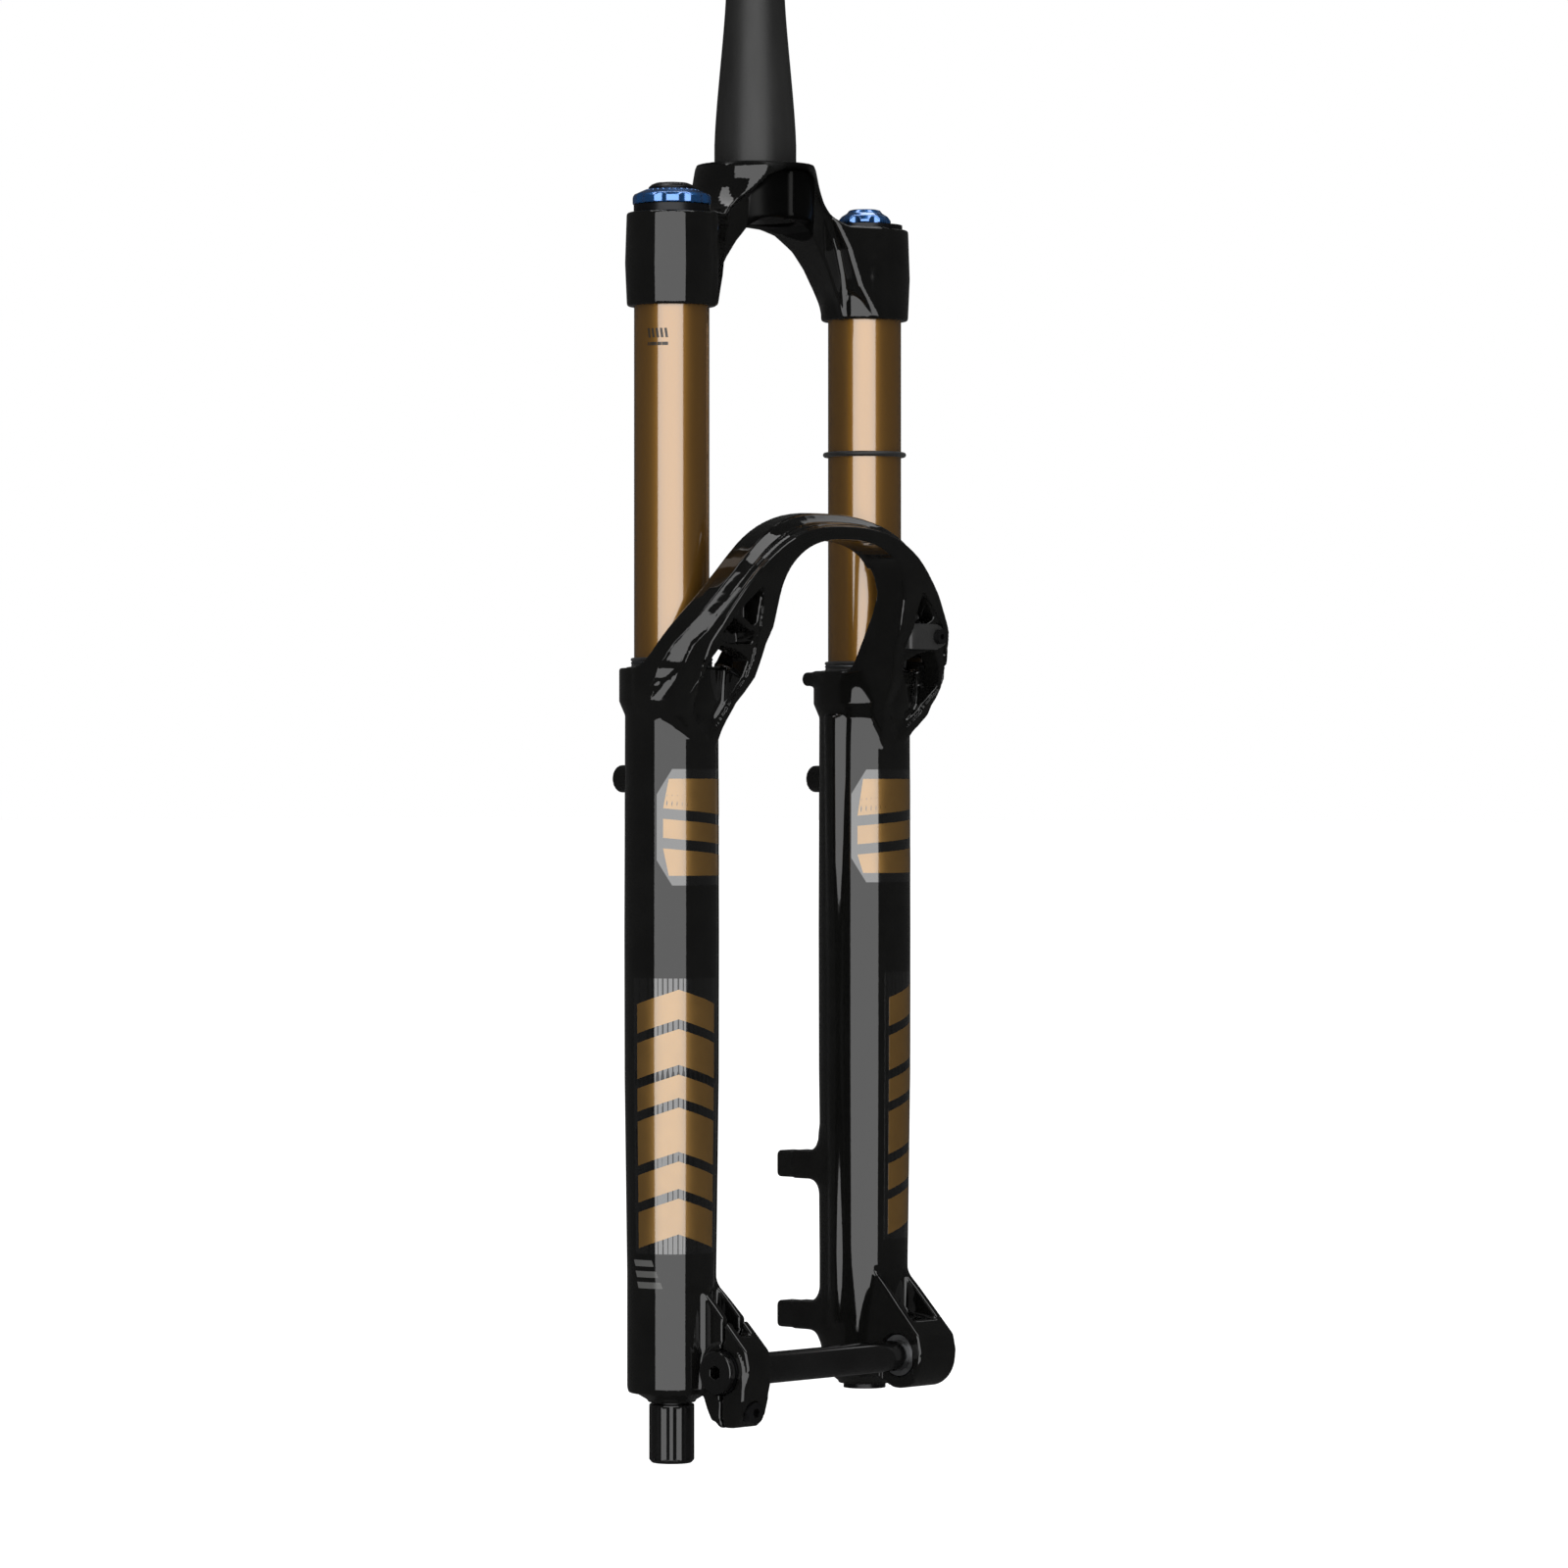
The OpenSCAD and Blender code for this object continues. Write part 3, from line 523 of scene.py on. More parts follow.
def arch_solid():
    outer = (
        [(-30, ARCH_TOP), (0, ARCH_TOP)]
        + curve((4, ARCH_TOP), (45, ARCH_TOP), (62, -188), (84, -218), 16)
        + curve((84.6, -218.9), (92, -229), (94, -238), (94, -252), 8)
        + curve((94, -254), (93, -266), (86, -274), (74, -281), 6)
        + [(62, -286), (-30, -286)]
    )
    inner = (
        [(-30, -183.3), (0, -183.3)]
        + curve((3, -183.3), (28, -183.3), (44, -193.5), (44.5, -215), 16)
        + curve((44.6, -217), (46, -238), (50, -262), (62, -284), 10)
        + [(62, -320), (-30, -320)]
    )
    side = (
        [(LEG_Y, -290), (LEG_Y, -246.2), (-14.5, -241.5)]
        + curve((-18, -238), (-25, -228), (-38, -210), (-38.5, -190))
        + [(-38.5, -168), (-57.5, -168)]
        + [(y, z) for z, y in reversed(FRONT_Y[1:])]
    )

    def terraced(p, box):
        """The arch from the front, with two ridges across it and a groove at the first."""
        d = outline_distance(np.abs(p[0]), p[2], outer)
        s = p[1] - table(p[2], FRONT_Y)
        s1, s2 = table(p[2], RIDGE_1), table(p[2], RIDGE_2)
        step_1 = table(p[2], [(-266, 0.2), (-252, 3.4), (-229, 3.2), (-208, 2.5), (-185, 3.6),
                              (-170, 4.2)])
        step_2 = table(p[2], [(-264, 0.3), (-250, 1.5), (-215, 1.5), (-170, 1.3)])
        wide = table(p[2], [(-252, 7.5), (-229, 7.0), (-215, 4.8), (-205, 3.8), (-185, 2.4),
                            (-170, 1.7)])
        drop = soft_ramp(s1 - s, wide) / wide * step_1 + soft_ramp(s2 - s, 1.2) / 1.2 * step_2
        drop += soft_ramp(s1 + 0.8 - s, 0.9) / 0.9 * np.minimum(0.7, step_1)
        lean = 0.05 * np.clip(s1 + 8.5 - s, 0, 24)
        return d + drop + lean

    lo, hi = (-95, -63, -290), (95, LEG_Y, ARCH_TOP)
    body = Solid(terraced, lo, hi)
    body = body.clip(plate(0, side, -100, 100), 1.3)
    body = body.cut(
        Solid(lambda p, box: outline_distance(np.abs(p[0]), p[2], inner),
              (-62, -100, -320), (62, 100, -183)), 1.3
    )
    # three pockets with ribs between them; the lowest is open to the back above the collar
    pockets = [
        (rounded([(57.0, -208.5), (60.5, -209.5), (70, -219.6), (59.2, -225.2), (56.8, -224)],
                 2.0), -45.0),
        (rounded([(73, -221.8), (59.4, -228.3), (56.2, -227.4), (55.2, -234), (70.5, -234),
                  (80.5, -231.6)], 2.0), -39.0),
        (rounded([(76, -234.8), (82.4, -243), (85.4, -252), (80, -264), (67, -279.5),
                  (63.4, -271), (59.6, -262), (58.4, -253), (55.8, -241), (66, -236.8)], 2.0),
         LEG_Y),
    ]
    panel = [(57.5, -207), (71.5, -219), (81.6, -231.5), (86.6, -244), (86.4, -254), (81, -266),
             (67, -282), (61.2, -271.5), (57.3, -262), (56.9, -254), (54.0, -242.4), (53.3, -235.6),
             (54.4, -226), (55.4, -216.5)]
    shallow = Solid(
        lambda p, box: np.maximum(outline_distance(np.abs(p[0]), p[2], panel),
                                  p[1] - table(p[2], FRONT_Y) - 1.1),
        (-87, -70, -282), (87, -20, -207))
    body = body.cut(shallow, 0.35)
    for points, deep in pockets:
        body = body.cut(plate(1, points, -80, deep, 0.8).mirrored(), 0.9)
    back = plate(1, rounded([(50.5, -245.6), (83, -245.6), (83, -238), (76, -232), (50.5, -232)],
                            2.0), -37, 30)
    body = body.cut(back.mirrored(), 0.6)
    inner_rear = plate(
        0, [(-17.5, -247), (-21.5, -241), (-25, -236), (-30, -228), (-36, -218), (-40, -208),
            (-40.5, -196), (10, -196), (10, -247)], 38, 53)
    body = body.cut(inner_rear.mirrored(), 0.8)
    for side_x in (-1, 1):
        body = body.cut(rod(2, 23.2, -236, -150, side_x * LEG_X, LEG_Y), 0.8)
        body = body.cut(rod(2, 20.6, -245.2, -150, side_x * LEG_X, LEG_Y), 0.3)
    return body


def leg_solid(side):
    foot_r = 12.8 if side > 0 else 11.4
    outside = [
        (0, -595.2), (foot_r, -595.2), (foot_r + 0.2, -594.2), (17.2, -590.9), (20.6, -590.6),
        (21.3, -588.2), (21.3, -534), (21.6, -511), (22.5, -441), (22.65, -371), (22.5, -324),
        (22.3, -267.8), (24.6, -262.3), (25.1, -261), (25.1, -246), (24.4, -245.2), (0, -245.2),
    ]
    return turned(rounded(outside, 1.2), side * LEG_X, LEG_Y)


def bore_solid(side):
    foot_r = 10.8 if side > 0 else 9.4
    inside = [
        (0, -598), (foot_r, -598), (foot_r, -591.9), (5.2, -591.9), (5.2, -565), (12, -565),
        (18.8, -563), (18.8, -392), (19.3, -392), (19.3, -262.2), (21.6, -262.2), (21.6, -244),
        (0, -244),
    ]
    return turned(inside, side * LEG_X, LEG_Y)


INNER_X = 53.0  # inner faces of the dropouts, which hold the hub
POST_Z = (-488.0, -562.2)  # brake posts
BLEED_Z = -298
ARCH_BOLT = (50, -248.9)  # x and z of the small threaded bosses behind the arch
CLIP_X, CLIP_Z = 73.0, -228.6


def dropout_solid(outer_x):
    """The left dropout; mirrored for the right one."""
    edge = rounded(
        [(LEG_Y, -530), (-22, -535.5), (-30.5, -541.5), (-37, -547.5), (-58.6, -569),
         (-60.4, -577), (-58.5, -586), (-53, -592.5), (-44, -595), (-34, -592), (-24, -587),
         (LEG_Y, -586)], 5.0)
    slab = plate(0, edge, INNER_X, outer_x, 1.6)
    slab = slab.clip(half_space((INNER_X, 0, -566), (-0.995, 0, 0.095)), 1.0)
    slab = slab.join(rod(0, 16, INNER_X, outer_x, AXLE_Y, AXLE_Z, 1.6))
    pocket = plate(
        0, rounded([(-25, -520), (-27.5, -556), (-33, -560.5), (-47, -561.5), (-75, -563),
                    (-75, -520)], 4.0),
        INNER_X + 5.0, outer_x - 4.4, 1.2)
    return slab.cut(pocket, 1.2)


def casting_solid():
    body = leg_solid(-1).join(leg_solid(1))
    body = body.join(arch_solid(), 3.5)
    body = body.join(dropout_solid(80.0), 3.0)
    right = dropout_solid(70.0)
    flip = Solid(
        lambda p, box: right(np.stack([-p[0], p[1], p[2]]),
                             (np.array([-box[1][0], box[0][1], box[0][2]]),
                              np.array([-box[0][0], box[1][1], box[1][2]]))),
        (-right.hi[0], right.lo[1], right.lo[2]), (-right.lo[0], right.hi[1], right.hi[2]))
    body = body.join(flip, 3.0)
    # axle clamp, its boss and the ear that carries the pinch bolt
    ear = plate(
        0, rounded([(-58.8, -580), (-58.2, -592), (-56.0, -599.5), (-51.5, -605.2),
                    (-42.5, -605.5), (-39.5, -603), (-37, -602.4), (-34, -597),
                    (-29.5, -586), (-30, -578)], 3.0),
        -71.6, -INNER_X, 1.8)
    body = body.join(ear, 2.0)
    body = body.join(rod(0, 13.5, -71, -60, AXLE_Y, AXLE_Z, 0.9), 1.5)
    # stepped end of the left lug
    body = body.join(rod(0, 13.2, 70, 80.9, AXLE_Y, AXLE_Z, 0.8), 0.4)
    # brake posts on their web
    web = plate(
        2, rounded([(52.5, LEG_Y), (52.5, 1.5), (55.5, 5.5), (62, 6.5), (66, 2), (68, LEG_Y)], 2.5),
        -575, -470, 3.0)
    high, low = (
        plate(1, rounded(rectangle(47.5, 61.5, z - 7, z + 7), 3.0), -2, 20.5, 0.8).join(
            plate(1, rounded(rectangle(48.0, 61.0, z - 6.6, z + 6.6), 2.6), 15, 30, 0.8))
        for z in POST_Z)
    body = body.join(web.join(high.join(low), 8.0), 5.0)
    for side in (-1, 1):
        body = body.join(rod(1, 6.6, 10, 23.9, side * LEG_X, BLEED_Z, 0.8), 2.0)
        body = body.join(rod(1, 3.4, LEG_Y - 4, 12, side * ARCH_BOLT[0], ARCH_BOLT[1], 0.8), 1.6)
    # raised oil channel along the inner rear of each leg
    channel = Solid(
        lambda p, box: np.hypot(p[0] - 50.8, p[1] + 9.0) - table(
            p[2], [(-566, 4.8), (-405, 5.0), (-267, 7.2)]), (43, -17, -566), (59, -1, -266.5))
    channel = channel.clip(rod(2, 40, -566, -266.5, 50.8, -9.0), 2.0)
    body = body.join(channel.mirrored(), 1.2)
    body = body.join(rod(1, 4.6, -52.5, -40, CLIP_X, CLIP_Z, 0.5), 1.0)
    # everything hollow
    for side in (-1, 1):
        body = body.cut(bore_solid(side))
        body = body.cut(rod(1, 1.65, 4.5, 20, side * ARCH_BOLT[0], ARCH_BOLT[1]), 0.3)
        body = body.cut(rod(1, 3.2, 8, 30, side * LEG_X, BLEED_Z))
        # a round recess for the hub, the left one open downwards
        a, b, r = side * INNER_X - 2, side * INNER_X + 2, 10.6
        recess = rod(0, r, a, b, AXLE_Y, AXLE_Z)
        if side > 0:
            recess = recess.join(Solid(
                lambda p, box: np.maximum(
                    np.maximum(np.abs(p[1] - AXLE_Y) - r, p[2] - AXLE_Z),
                    np.abs(p[0] - INNER_X) - 2),
                (a, AXLE_Y - r, -640), (b, AXLE_Y + r, AXLE_Z)))
        body = body.cut(recess, 0.5)
    body = body.cut(rod(0, 10.5, -90, -52, AXLE_Y, AXLE_Z), 0.4)
    body = body.cut(rod(0, 10.0, 52, 90, AXLE_Y, AXLE_Z), 0.4)
    # pinch slot, a little bent at its lower end
    slot = Solid(
        lambda p, box: np.maximum(
            np.abs(p[1] - AXLE_Y - table(p[2], [(-606, -1.8), (-600, 0.2), (-590, 0.0)])) - 0.7,
            np.maximum(-90 - p[0], p[0] + 50)),
        (-90, -48, -612), (-50, -40, -580))
    body = body.cut(slot.clip(rod(0, 33, -95, -45, AXLE_Y, AXLE_Z)), 0.5)
    bolt_x, bolt_z = -63, -598
    body = body.cut(rod(1, 3.1, -70, -25, bolt_x, bolt_z))
    body = body.cut(rod(1, 5.2, -70, -54, bolt_x, bolt_z), 0.5)
    for z in POST_Z:
        body = body.cut(rod(1, 2.5, 14, 40, 54.5, z), 0.4)
    body = body.cut(rod(1, 1.65, -60, -40, CLIP_X, CLIP_Z))
    return body


def casting_axes():
    h = 1.0
    m = 4.0
    return [
        graded((-97, 97, h)),
        graded((-66.5, 34, h)),
        graded((-609, -478, h), (-478, -312, m), (-312, -166, h)),
    ]


# ---------------------------------------------------------------- materials


CORE_EDGE = 0.0006  # metres over which a finish turns rougher and its painted shade sets in
# extra roughness in the pocket, and the metallic level that paints shade there
CORE_ROUGHER, CORE_PAINTED_SHADE_METAL = 0.38, 0.82


def finish(name, colour, shade, roughness, metallic=0.0, bump=0.0, grain=400.0, stretch=(1, 1, 1),
           coat=0.0, coat_rough=0.05, coat_ior=1.5, sheen=0.0, patch=35.0, speckle=0.0, painted_shade_core=0.0):
    """A procedural finish. Colour drifts to `shade` in soft patches, roughness runs over its
    (low, high) range with a finer noise, and a fine grain raises the surface. Within the core
    distance, in metres, of the object's axis the finish turns rougher and metallic over its dark
    base colour: painted shade that dims the reflections there, as in a shaded pocket."""
    m = bpy.data.materials.new(name)
    m.use_nodes = True
    nodes, link = m.node_tree.nodes, m.node_tree.links.new
    shader = nodes["Principled BSDF"]

    def new(kind, **values):
        n = nodes.new("ShaderNode" + kind)
        for key, value in values.items():
            n.inputs[key.replace("_", " ")].default_value = value
        return n

    place_node = new("TexCoord")
    scale = new("Mapping", Scale=stretch)
    link(place_node.outputs["Object"], scale.inputs["Vector"])

    def noise(size, detail=3.0, rough=0.5):
        n = new("TexNoise", Scale=size, Detail=detail, Roughness=rough)
        link(scale.outputs["Vector"], n.inputs["Vector"])
        return n.outputs["Fac"]

    def ramp(value, low, high, a, b):
        r = new("MapRange", From_Min=low, From_Max=high, To_Min=a, To_Max=b)
        link(value, r.inputs["Value"])
        return r.outputs["Result"]

    def tones(start, end):
        n = new("ValToRGB")
        n.color_ramp.elements[0].position = start
        n.color_ramp.elements[1].position = end
        return n

    tone = tones(0.35, 0.68)
    tone.color_ramp.elements[0].color = (*shade, 1)
    tone.color_ramp.elements[1].color = (*colour, 1)
    link(noise(patch, 4.0, 0.6), tone.inputs["Fac"])
    base = tone.outputs["Color"]
    if speckle:
        mix = new("Mix")
        mix.data_type = "RGBA"
        mix.blend_type = "MULTIPLY"
        mix.inputs["Factor"].default_value = speckle
        fleck = tones(0.38, 0.62)
        link(noise(grain * 1.7, 2.0), fleck.inputs["Fac"])
        link(base, mix.inputs[6])
        link(fleck.outputs["Color"], mix.inputs[7])
        base = mix.outputs[2]
    link(base, shader.inputs["Base Color"])
    polish = ramp(noise(patch * 4, 3.0), 0.3, 0.7, *roughness)
    # painted shade near the axis: extra roughness, and a metallic level over the dark base colour
    # that dims the reflections
    if painted_shade_core:
        level = new("VectorMath")
        level.operation = "MULTIPLY"
        level.inputs[1].default_value = (1, 1, 0)
        link(place_node.outputs["Object"], level.inputs[0])
        reach = new("VectorMath")
        reach.operation = "LENGTH"
        link(level.outputs["Vector"], reach.inputs[0])
        dull = new("Math")
        dull.operation = "ADD"
        link(polish, dull.inputs[0])
        away, edge = reach.outputs["Value"], painted_shade_core + CORE_EDGE
        link(ramp(away, painted_shade_core, edge, CORE_ROUGHER, 0.0), dull.inputs[1])
        polish = dull.outputs["Value"]
        # the painted shade itself: metallic over the near-black base colour cuts the pocket's
        # reflections
        link(ramp(away, painted_shade_core, edge, CORE_PAINTED_SHADE_METAL, metallic), shader.inputs["Metallic"])
    link(polish, shader.inputs["Roughness"])
    for key, value in (("Metallic", metallic), ("Coat Weight", coat),
                       ("Coat Roughness", coat_rough), ("Coat IOR", coat_ior),
                       ("Sheen Weight", sheen)):
        shader.inputs[key].default_value = value
    if bump:
        b = new("Bump", Strength=bump, Distance=0.0002)
        link(noise(grain, 2.0), b.inputs["Height"])
        link(b.outputs["Normal"], shader.inputs["Normal"])
    return m


LOOKS = {
    # the crown's paint has painted shade in the pocket round the hub, within 28.6 mm of the steerer
    # axis
    "gloss_black": finish(
        "crown_gloss_black_with_painted_shade", (0.0055, 0.0055, 0.0052), (0.0040, 0.0040, 0.0038), (0.03, 0.07),
        bump=0.03, grain=900, patch=60, painted_shade_core=0.0286),
    "gloss_black_lowers": finish(
        "lowers_gloss_black", (0.0055, 0.0055, 0.0052), (0.0040, 0.0040, 0.0038), (0.03, 0.07),
        bump=0.03, grain=900, patch=60),
    "steerer_black": finish(
        "steerer_satin_black", (0.024, 0.024, 0.023), (0.018, 0.018, 0.018), (0.40, 0.50),
        metallic=0.30, bump=0.12, grain=2500, stretch=(1, 1, 0.25)),
    "gold_anodised": finish(
        "stanchion_gold", (0.285, 0.138, 0.018), (0.255, 0.120, 0.015), (0.40, 0.46),
        metallic=0.80, bump=0.06, grain=2600, stretch=(1, 1, 0.12), patch=22, coat=1.0,
        coat_rough=0.10, coat_ior=2.1),
    "black_anodised": finish(
        "black_anodised", (0.010, 0.010, 0.011), (0.006, 0.006, 0.007), (0.24, 0.34),
        metallic=0.5, bump=0.1, grain=3000),
    "blue_anodised": finish(
        "blue_anodised", (0.022, 0.165, 0.50), (0.016, 0.140, 0.44), (0.22, 0.30), metallic=0.85,
        bump=0.06, grain=3200, coat=1.0, coat_rough=0.12, coat_ior=1.9),
    "red_anodised": finish(
        "red_anodised", (0.42, 0.03, 0.015), (0.34, 0.02, 0.012), (0.24, 0.32), metallic=0.8,
        bump=0.08, grain=3000),
    "alloy_raw": finish(
        "machined_alloy", (0.55, 0.56, 0.57), (0.45, 0.46, 0.47), (0.26, 0.38), metallic=1.0,
        bump=0.2, grain=1800, stretch=(1, 1, 6)),
    "gold_alloy": finish(
        "valve_gold", (0.62, 0.47, 0.17), (0.52, 0.38, 0.13), (0.22, 0.3), metallic=1.0, bump=0.1,
        grain=2400),
    "polished_shaft": finish(
        "polished_shaft", (0.72, 0.73, 0.74), (0.66, 0.67, 0.69), (0.08, 0.14), metallic=1.0,
        bump=0.03, grain=2200),
    "spring_steel": finish(
        "spring_steel", (0.36, 0.37, 0.39), (0.26, 0.27, 0.29), (0.28, 0.42), metallic=1.0,
        bump=0.2, grain=2600, stretch=(3, 3, 1)),
    "black_steel": finish(
        "black_oxide_steel", (0.018, 0.018, 0.019), (0.011, 0.011, 0.012), (0.26, 0.38),
        metallic=0.6, bump=0.2, grain=2600, speckle=0.2),
    "axle_black": finish(
        "axle_black", (0.006, 0.006, 0.006), (0.004, 0.004, 0.004), (0.10, 0.16), bump=0.05,
        grain=2600, coat=0.3),
    "clip_grey": finish(
        "clip_grey", (0.030, 0.030, 0.029), (0.022, 0.022, 0.022), (0.32, 0.44), bump=0.25,
        grain=2200),
    "cover_plastic": finish(
        "cover_black", (0.006, 0.006, 0.006), (0.0045, 0.0045, 0.0045), (0.06, 0.12), bump=0.05,
        grain=2000),
    "spacer_plastic": finish(
        "spacer_plastic", (0.66, 0.62, 0.53), (0.58, 0.54, 0.46), (0.38, 0.5), bump=0.15,
        grain=1600),
    "seal_rubber": finish(
        "seal_rubber", (0.012, 0.012, 0.012), (0.007, 0.007, 0.007), (0.42, 0.58), bump=0.3,
        grain=2400, sheen=0.1),
    "bumper_rubber": finish(
        "bumper_rubber", (0.045, 0.032, 0.026), (0.028, 0.02, 0.016), (0.5, 0.65), bump=0.4,
        grain=1500),
    "oiled_foam": finish(
        "oiled_foam", (0.075, 0.055, 0.038), (0.035, 0.026, 0.018), (0.5, 0.8), bump=0.9,
        grain=1400, speckle=0.6),
    "bushing_bronze": finish(
        "bushing_bronze", (0.30, 0.19, 0.085), (0.20, 0.13, 0.06), (0.34, 0.46), metallic=0.8,
        bump=0.25, grain=1700),
    "copper_washer": finish(
        "copper_washer", (0.60, 0.27, 0.15), (0.48, 0.20, 0.10), (0.26, 0.4), metallic=1.0,
        bump=0.2, grain=1900),
    "brass_core": finish(
        "brass_core", (0.62, 0.48, 0.2), (0.5, 0.37, 0.14), (0.2, 0.32), metallic=1.0, bump=0.1,
        grain=2200),
}
DECAL_GOLD = finish(
    "decal_gold", (0.30, 0.160, 0.034), (0.275, 0.145, 0.029), (0.36, 0.42), metallic=0.78,
    bump=0.03, grain=3000, coat=1.0, coat_rough=0.10, coat_ior=2.0)
DECAL_GREY = finish(
    "decal_grey", (0.085, 0.085, 0.082), (0.07, 0.07, 0.068), (0.16, 0.22), bump=0.05, grain=3000)
DECAL_BLACK = finish(
    "decal_black", (0.0040, 0.0040, 0.0038), (0.0030, 0.0030, 0.0028), (0.10, 0.16), grain=3000,
    coat=1.0, coat_rough=0.05, coat_ior=1.85)
MARK_DARK = finish(
    "mark_dark", (0.035, 0.022, 0.010), (0.025, 0.016, 0.008), (0.28, 0.36), bump=0.05,
    grain=3000)
slots = {row["node"]: row["material_slot"] for row in frame["record"]["subparts"]}
for node, obj in frame["nodes"].items():
    obj.data.materials.clear()
    obj.data.materials.append(LOOKS[slots[node]])
    obj.data.shade_smooth()


# ---------------------------------------------------------------- pieces


def body_of(node):
    return frame["nodes"][node]["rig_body"]


def piece(node, obj):
    """Puts a new mesh in the place of a CAD node, with that node's body, slot and finish."""
    obj.data.materials.append(LOOKS[slots[node]])
    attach(obj, body_of(node))
    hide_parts(node)
    return obj


def lathe(name, points, x, y, sides=160):
    """A smooth turned mesh of a closed (radius, z) outline; corners over 35 degrees stay sharp."""
    n = len(points)
    tangents = [np.subtract(points[(i + 1) % n], points[i]) for i in range(n)]
    tangents = [t / np.linalg.norm(t) for t in tangents]
    normals = []  # at each point, for the faces after it and for the faces before it
    for i in range(n):
        a, b = tangents[i - 1], tangents[i]
        if float(a @ b) > math.cos(math.radians(35)):
            a = b = (a + b) / np.linalg.norm(a + b)
        normals.append(((b[1], -b[0]), (a[1], -a[0])))
    ring = [(math.cos(2 * math.pi * k / sides), math.sin(2 * math.pi * k / sides))
            for k in range(sides)]
    vertices = [(x + r * c, y + r * s, z) for r, z in points for c, s in ring]
    faces, loops = [], []
    for i in range(n):
        j = (i + 1) % n
        for k in range(sides):
            m = (k + 1) % sides
            faces.append((i * sides + k, i * sides + m, j * sides + m, j * sides + k))
            for row, q, before in ((i, k, 0), (i, m, 0), (j, m, 1), (j, k, 1)):
                nr, nz = normals[row][before]
                loops.append((nr * ring[q][0], nr * ring[q][1], nz))
    obj = add_mesh(name, vertices, faces)
    obj.data.normals_split_custom_set(loops)
    return obj


def coil(name, node, wire_r, turns, steps=36, sides=12):
    """An open coil of round wire that fills a node's box from end to end."""
    lo, hi = box_mm(node)
    coil_r = (hi[0] - lo[0]) / 2 - wire_r
    x, y = (lo[0] + hi[0]) / 2, (lo[1] + hi[1]) / 2
    vertices, faces = [], []
    rings = turns * steps
    for i in range(rings + 1):
        a = 2 * math.pi * i / steps
        z = lo[2] + wire_r + (hi[2] - lo[2] - 2 * wire_r) * i / rings
        for k in range(sides):
            b = 2 * math.pi * k / sides
            r = coil_r + wire_r * math.cos(b)
            vertices.append((x + r * math.cos(a), y + r * math.sin(a), z + wire_r * math.sin(b)))
    for i in range(rings):
        for k in range(sides):
            n = (k + 1) % sides
            faces.append((i * sides + k, (i + 1) * sides + k, (i + 1) * sides + n, i * sides + n))
    faces.append(tuple(range(sides)))
    faces.append(tuple(rings * sides + k for k in reversed(range(sides))))
    return add_mesh(name, vertices, faces)


def tube_outline(r_out, r_in, z0, z1, bevel):
    return [(r_out, z0 + bevel), (r_out, z1 - bevel), (r_out - bevel, z1), (r_in + bevel, z1),
            (r_in, z1 - bevel), (r_in, z0 + bevel), (r_in + bevel, z0), (r_out - bevel, z0)]


def split_rows(points, step):
    """The outline with long straight runs cut into shorter ones."""
    out = []
    for p, q in zip(points, points[1:] + points[:1]):
        n = max(1, int(math.hypot(q[0] - p[0], q[1] - p[1]) // step))
        out += [(p[0] + (q[0] - p[0]) * k / n, p[1] + (q[1] - p[1]) * k / n) for k in range(n)]
    return out


# steerer and stanchions
steerer = (
    [(18.0, -27), (19.5, -27), (19.5, -0.05), (19.9, 0), (19.9, 10)]
    + curve((19.85, 10.6), (19.3, 30), (14.9, 65), (14.3, 83), 14)
    + [(14.3, STEERER_TOP - 0.8), (13.5, STEERER_TOP), (12.1, STEERER_TOP), (12.1, 83),
       (16.7, 0)]
)
piece("steerer_tube", lathe("steerer_turned", split_rows(steerer, 12), 0, 0))
for node, side in (("right_stanchion", -1), ("left_stanchion", 1)):
    outline = tube_outline(ST_R, ST_R - 1.6, ST_BOTTOM, ST_TOP, 0.5)
    piece(node, lathe(node + "_turned", split_rows(outline, 20), side * LEG_X, LEG_Y, 192))

# the spring behind the floating piston, which shortens as the piston rises
WIRE_R, COILS = 0.9, 8
spring = piece("ifp_spring", coil("ifp_spring_coiled", "ifp_spring", WIRE_R, COILS))
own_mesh(spring)

# crown and lower legs
h = 0.9
crown_axes = [graded((-94, 94, h)), graded((-35, 34, h)), graded((-76, 3, h))]
piece("crown", carve("crown_forging", crown_solid(), crown_axes, h))
piece("lower_casting", carve("lower_legs", casting_solid(), casting_axes(), h))


def scallops(solid, count, x, y, distance, r, z0, z1, turn, edge):
    """The solid with a ring of upright round grooves, the first at `turn` degrees."""
    for k in range(count):
        a = math.radians(turn + 360 * k / count)
        solid = solid.cut(
            rod(2, r, z0, z1, x + distance * math.cos(a), y + distance * math.sin(a)), edge)
    return solid


# controls on top of the damper leg and of the air spring's leg
DAMPER, SPRING = (-LEG_X, LEG_Y), (LEG_X, LEG_Y)
z0 = box_mm("high_speed_compression_dial")[0][2]
dial = turned(rounded(
    [(7.6, z0), (18.5, z0), (18.9, z0 + 0.6), (18.9, -20.6), (17.9, -19.4), (12.6, -17.0),
     (7.6, -17.0)], 0.5), *DAMPER)
dial = scallops(dial, 10, *DAMPER, 22.4, 4.4, -40, 0, 225 + 18, 0.6)
dial = scallops(dial, 30, *DAMPER, 13.6, 0.55, -18.6, 0, 3, 0.15)
piece("high_speed_compression_dial", carve_fine("high_speed_dial_lobed", dial, 0.42))

knob = turned(rounded(
    [(0, z0), (7.3, z0), (7.3, -16.7), (11.1, -16.7), (11.1, -15.9), (9.6, -14.6),
     (7.6, -13.8), (5.0, -13.6), (0, -13.6)], 0.5), *DAMPER)
knob = knob.join(rod(2, 4, ST_TOP - 3, ST_TOP + 4, *DAMPER))
knob = scallops(knob, 6, *DAMPER, 8.3, 1.5, -15.2, 0, 12, 0.3)
knob = knob.cut(prism(2, 2.0, -15.8, 0, *DAMPER, edge=0.2), 0.2)
piece("low_speed_compression_knob", carve_fine("low_speed_knob_domed", knob, 0.34))

